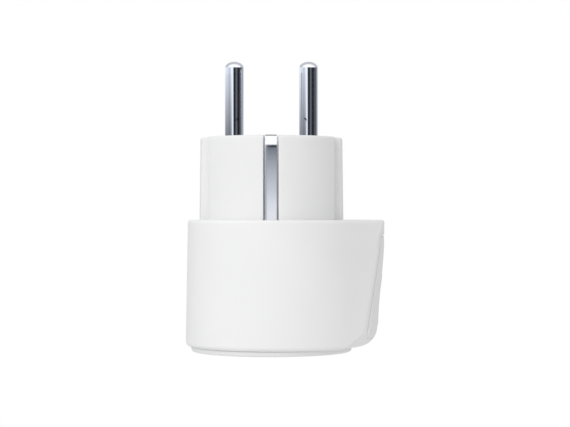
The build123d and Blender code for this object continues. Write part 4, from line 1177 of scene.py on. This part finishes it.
def surround_material():
    """Stage emission that varies with azimuth, and with height on the left side."""
    material, tree, emission, place = graded_glow("surround")
    front = math_node(tree, "MULTIPLY", place["Y"], -1.0)
    angle = math_node(tree, "ARCTAN2", place["X"], front)
    turn = math_node(tree, "MULTIPLY_ADD", angle, 1 / (2 * math.pi), 0.5)
    stops = [(a / 360 + 0.5, (v * 0.9, v * 0.94 + 0.001, v * 1.02 + 0.006)) for a, v in SURROUND]
    around = ramp(tree, turn, stops)
    height = map_range(tree, place["Z"], (0.09, 0.15), (0.3, 1.5))
    left = map_range(tree, turn, (0.40, 0.44), (1.0, 0.0))
    factor = tree.nodes.new("ShaderNodeMix")
    factor.inputs["A"].default_value = 1.0
    tree.links.new(left, factor.inputs["Factor"])
    tree.links.new(height, factor.inputs["B"])
    tree.links.new(factor.outputs["Result"], emission.inputs["Strength"])
    tree.links.new(around, emission.inputs["Color"])
    return material


def ring_card(name, azimuths, elevations, distance, material):
    """A curved card around the object, seen only in reflections. 0 degrees is towards the
    camera's side, growing to the right."""
    steps = 48
    points = []
    for e in elevations:
        for k in range(steps + 1):
            a = math.radians(azimuths[0] + (azimuths[1] - azimuths[0]) * k / steps)
            points.append((distance * math.sin(a), -distance * math.cos(a),
                           CARD_LEVEL + distance * math.tan(math.radians(e))))
    faces = [(k, k + 1, steps + 2 + k, steps + 1 + k) for k in range(steps)]
    return stage_mesh(name, points, faces, material, "reflections")


def strip_card():
    """A small graded card close in front of the earth strip: darker towards its top."""
    material, tree, emission, place = graded_glow("strip_grade")
    height = map_range(tree, place["Z"], (0.034, 0.0556))
    grade = ramp(tree, height,
                 [(0.0, (0.92, 0.92, 0.92)), (0.111, (0.87, 0.88, 0.895)),
                  (0.255, (0.767, 0.79, 0.825)), (0.394, (0.657, 0.68, 0.708)),
                  (0.537, (0.557, 0.58, 0.607)), (0.671, (0.467, 0.49, 0.514)),
                  (0.815, (0.358, 0.38, 0.409)), (0.958, (0.219, 0.24, 0.263)),
                  (1.0, (0.171, 0.19, 0.212))])
    tree.links.new(grade, emission.inputs["Color"])
    left, right, low, high, y = -0.008, 0.03, 0.024, 0.0562, -0.06
    points = [(left, y, low), (right, y, low), (right, y, high), (left, y, high)]
    return stage_mesh("card_strip", points, [(0, 1, 2, 3)], material, "reflections")


def reflected_dome():
    """A dome seen only in reflections: white in front and overhead, greyer behind."""
    material, tree, emission, place = graded_glow("dome")
    depth = map_range(tree, place["Y"], (-0.35, 0.15))
    grade = ramp(tree, depth, [(0.0, (1.2, 1.2, 1.2)), (1.0, (0.6, 0.61, 0.64))])
    tree.links.new(grade, emission.inputs["Color"])
    points = []
    rings = 12
    around = 48
    for i in range(rings):
        e = -math.pi / 2 + math.pi * (i + 0.5) / rings
        for k in range(around):
            a = 2 * math.pi * k / around
            level = DOME_R * math.cos(e)
            points.append((level * math.cos(a), level * math.sin(a), DOME_R * math.sin(e)))
    faces = [tuple(range(around)), tuple(range((rings - 1) * around, rings * around))]
    for i in range(rings - 1):
        for k in range(around):
            a, b = i * around + k, i * around + (k + 1) % around
            faces.append((a, b, b + around, a + around))
    return stage_mesh("dome", points, faces, material, "reflections")


def edge_card():
    """A small black card over the earth strip, mirrored in the strip's rounded top edge."""
    half, front, back, z = 0.003, -0.0212, -0.008, 0.060
    points = [(-half, front, z), (half, front, z), (half, back, z), (-half, back, z)]
    black = glow("edge_black", BLACK, 0.0)
    return stage_mesh("card_edge", points, [(0, 1, 2, 3)], black, "reflections")


reflected_dome()
ring_card("surround", (-150, 150), (-6, 12), 0.9, surround_material())
strip_card()
edge_card()

world = bpy.data.worlds.new("studio")
scene.world = world
world.use_nodes = True
world_tree = world.node_tree
background = world_tree.nodes["Background"]
background.inputs["Color"].default_value = (*FULL, 1.0)
where = world_tree.nodes.new("ShaderNodeTexCoord")


def towards(azimuth, elevation):
    """A direction; azimuth 0 is the camera's side and grows to the right."""
    a, e = math.radians(azimuth), math.radians(elevation)
    return Vector((math.cos(e) * math.sin(a), -math.cos(e) * math.cos(a), math.sin(e)))


def lobe(direction, power, gain):
    """World brightness that grows towards one direction."""
    facing = world_tree.nodes.new("ShaderNodeVectorMath")
    facing.operation = "DOT_PRODUCT"
    facing.inputs[1].default_value = direction
    world_tree.links.new(where.outputs["Generated"], facing.inputs[0])
    front = math_node(world_tree, "MAXIMUM", facing.outputs["Value"], 0.0)
    narrow = math_node(world_tree, "POWER", front, power)
    return math_node(world_tree, "MULTIPLY", narrow, gain)


# Soft light from each side: direction, how narrow it is, and its strength.
LIGHTS = [(towards(-30, 10), 4.0, 1.68), (towards(60, 10), 4.0, 0.69),
          (towards(90, 10), 4.0, 0.41), (towards(-60, 50), 4.0, 1.05),
          (towards(0, 50), 4.0, 0.20), (towards(0, 90), 1.0, 0.32),
          (towards(0, -90), 1.0, 0.84), (towards(180, 0), 1.0, 1.01)]
level = lobe(*LIGHTS[0])
for light in LIGHTS[1:]:
    level = math_node(world_tree, "ADD", level, lobe(*light))
world_tree.links.new(level, background.inputs["Strength"])

DISTANCE = 0.440
CAMERA_Z = 0.03514
PIXELS_PER_MM = 3.905
IMAGE_WIDTH = 570
camera = bpy.data.cameras.new("camera")
camera.sensor_width = 36.0
camera.lens = PIXELS_PER_MM * DISTANCE / MM / IMAGE_WIDTH * camera.sensor_width
camera.clip_end = 20.0
camera.clip_start = 0.01
viewer = bpy.data.objects.new("camera", camera)
scene.collection.objects.link(viewer)
middle = (cad_low + cad_high) / 2
viewer.location = (middle.x, -DISTANCE, CAMERA_Z)
viewer.rotation_euler = (math.pi / 2, 0, 0)
bpy.context.scene.camera = viewer
scene.view_settings.view_transform = "Standard"
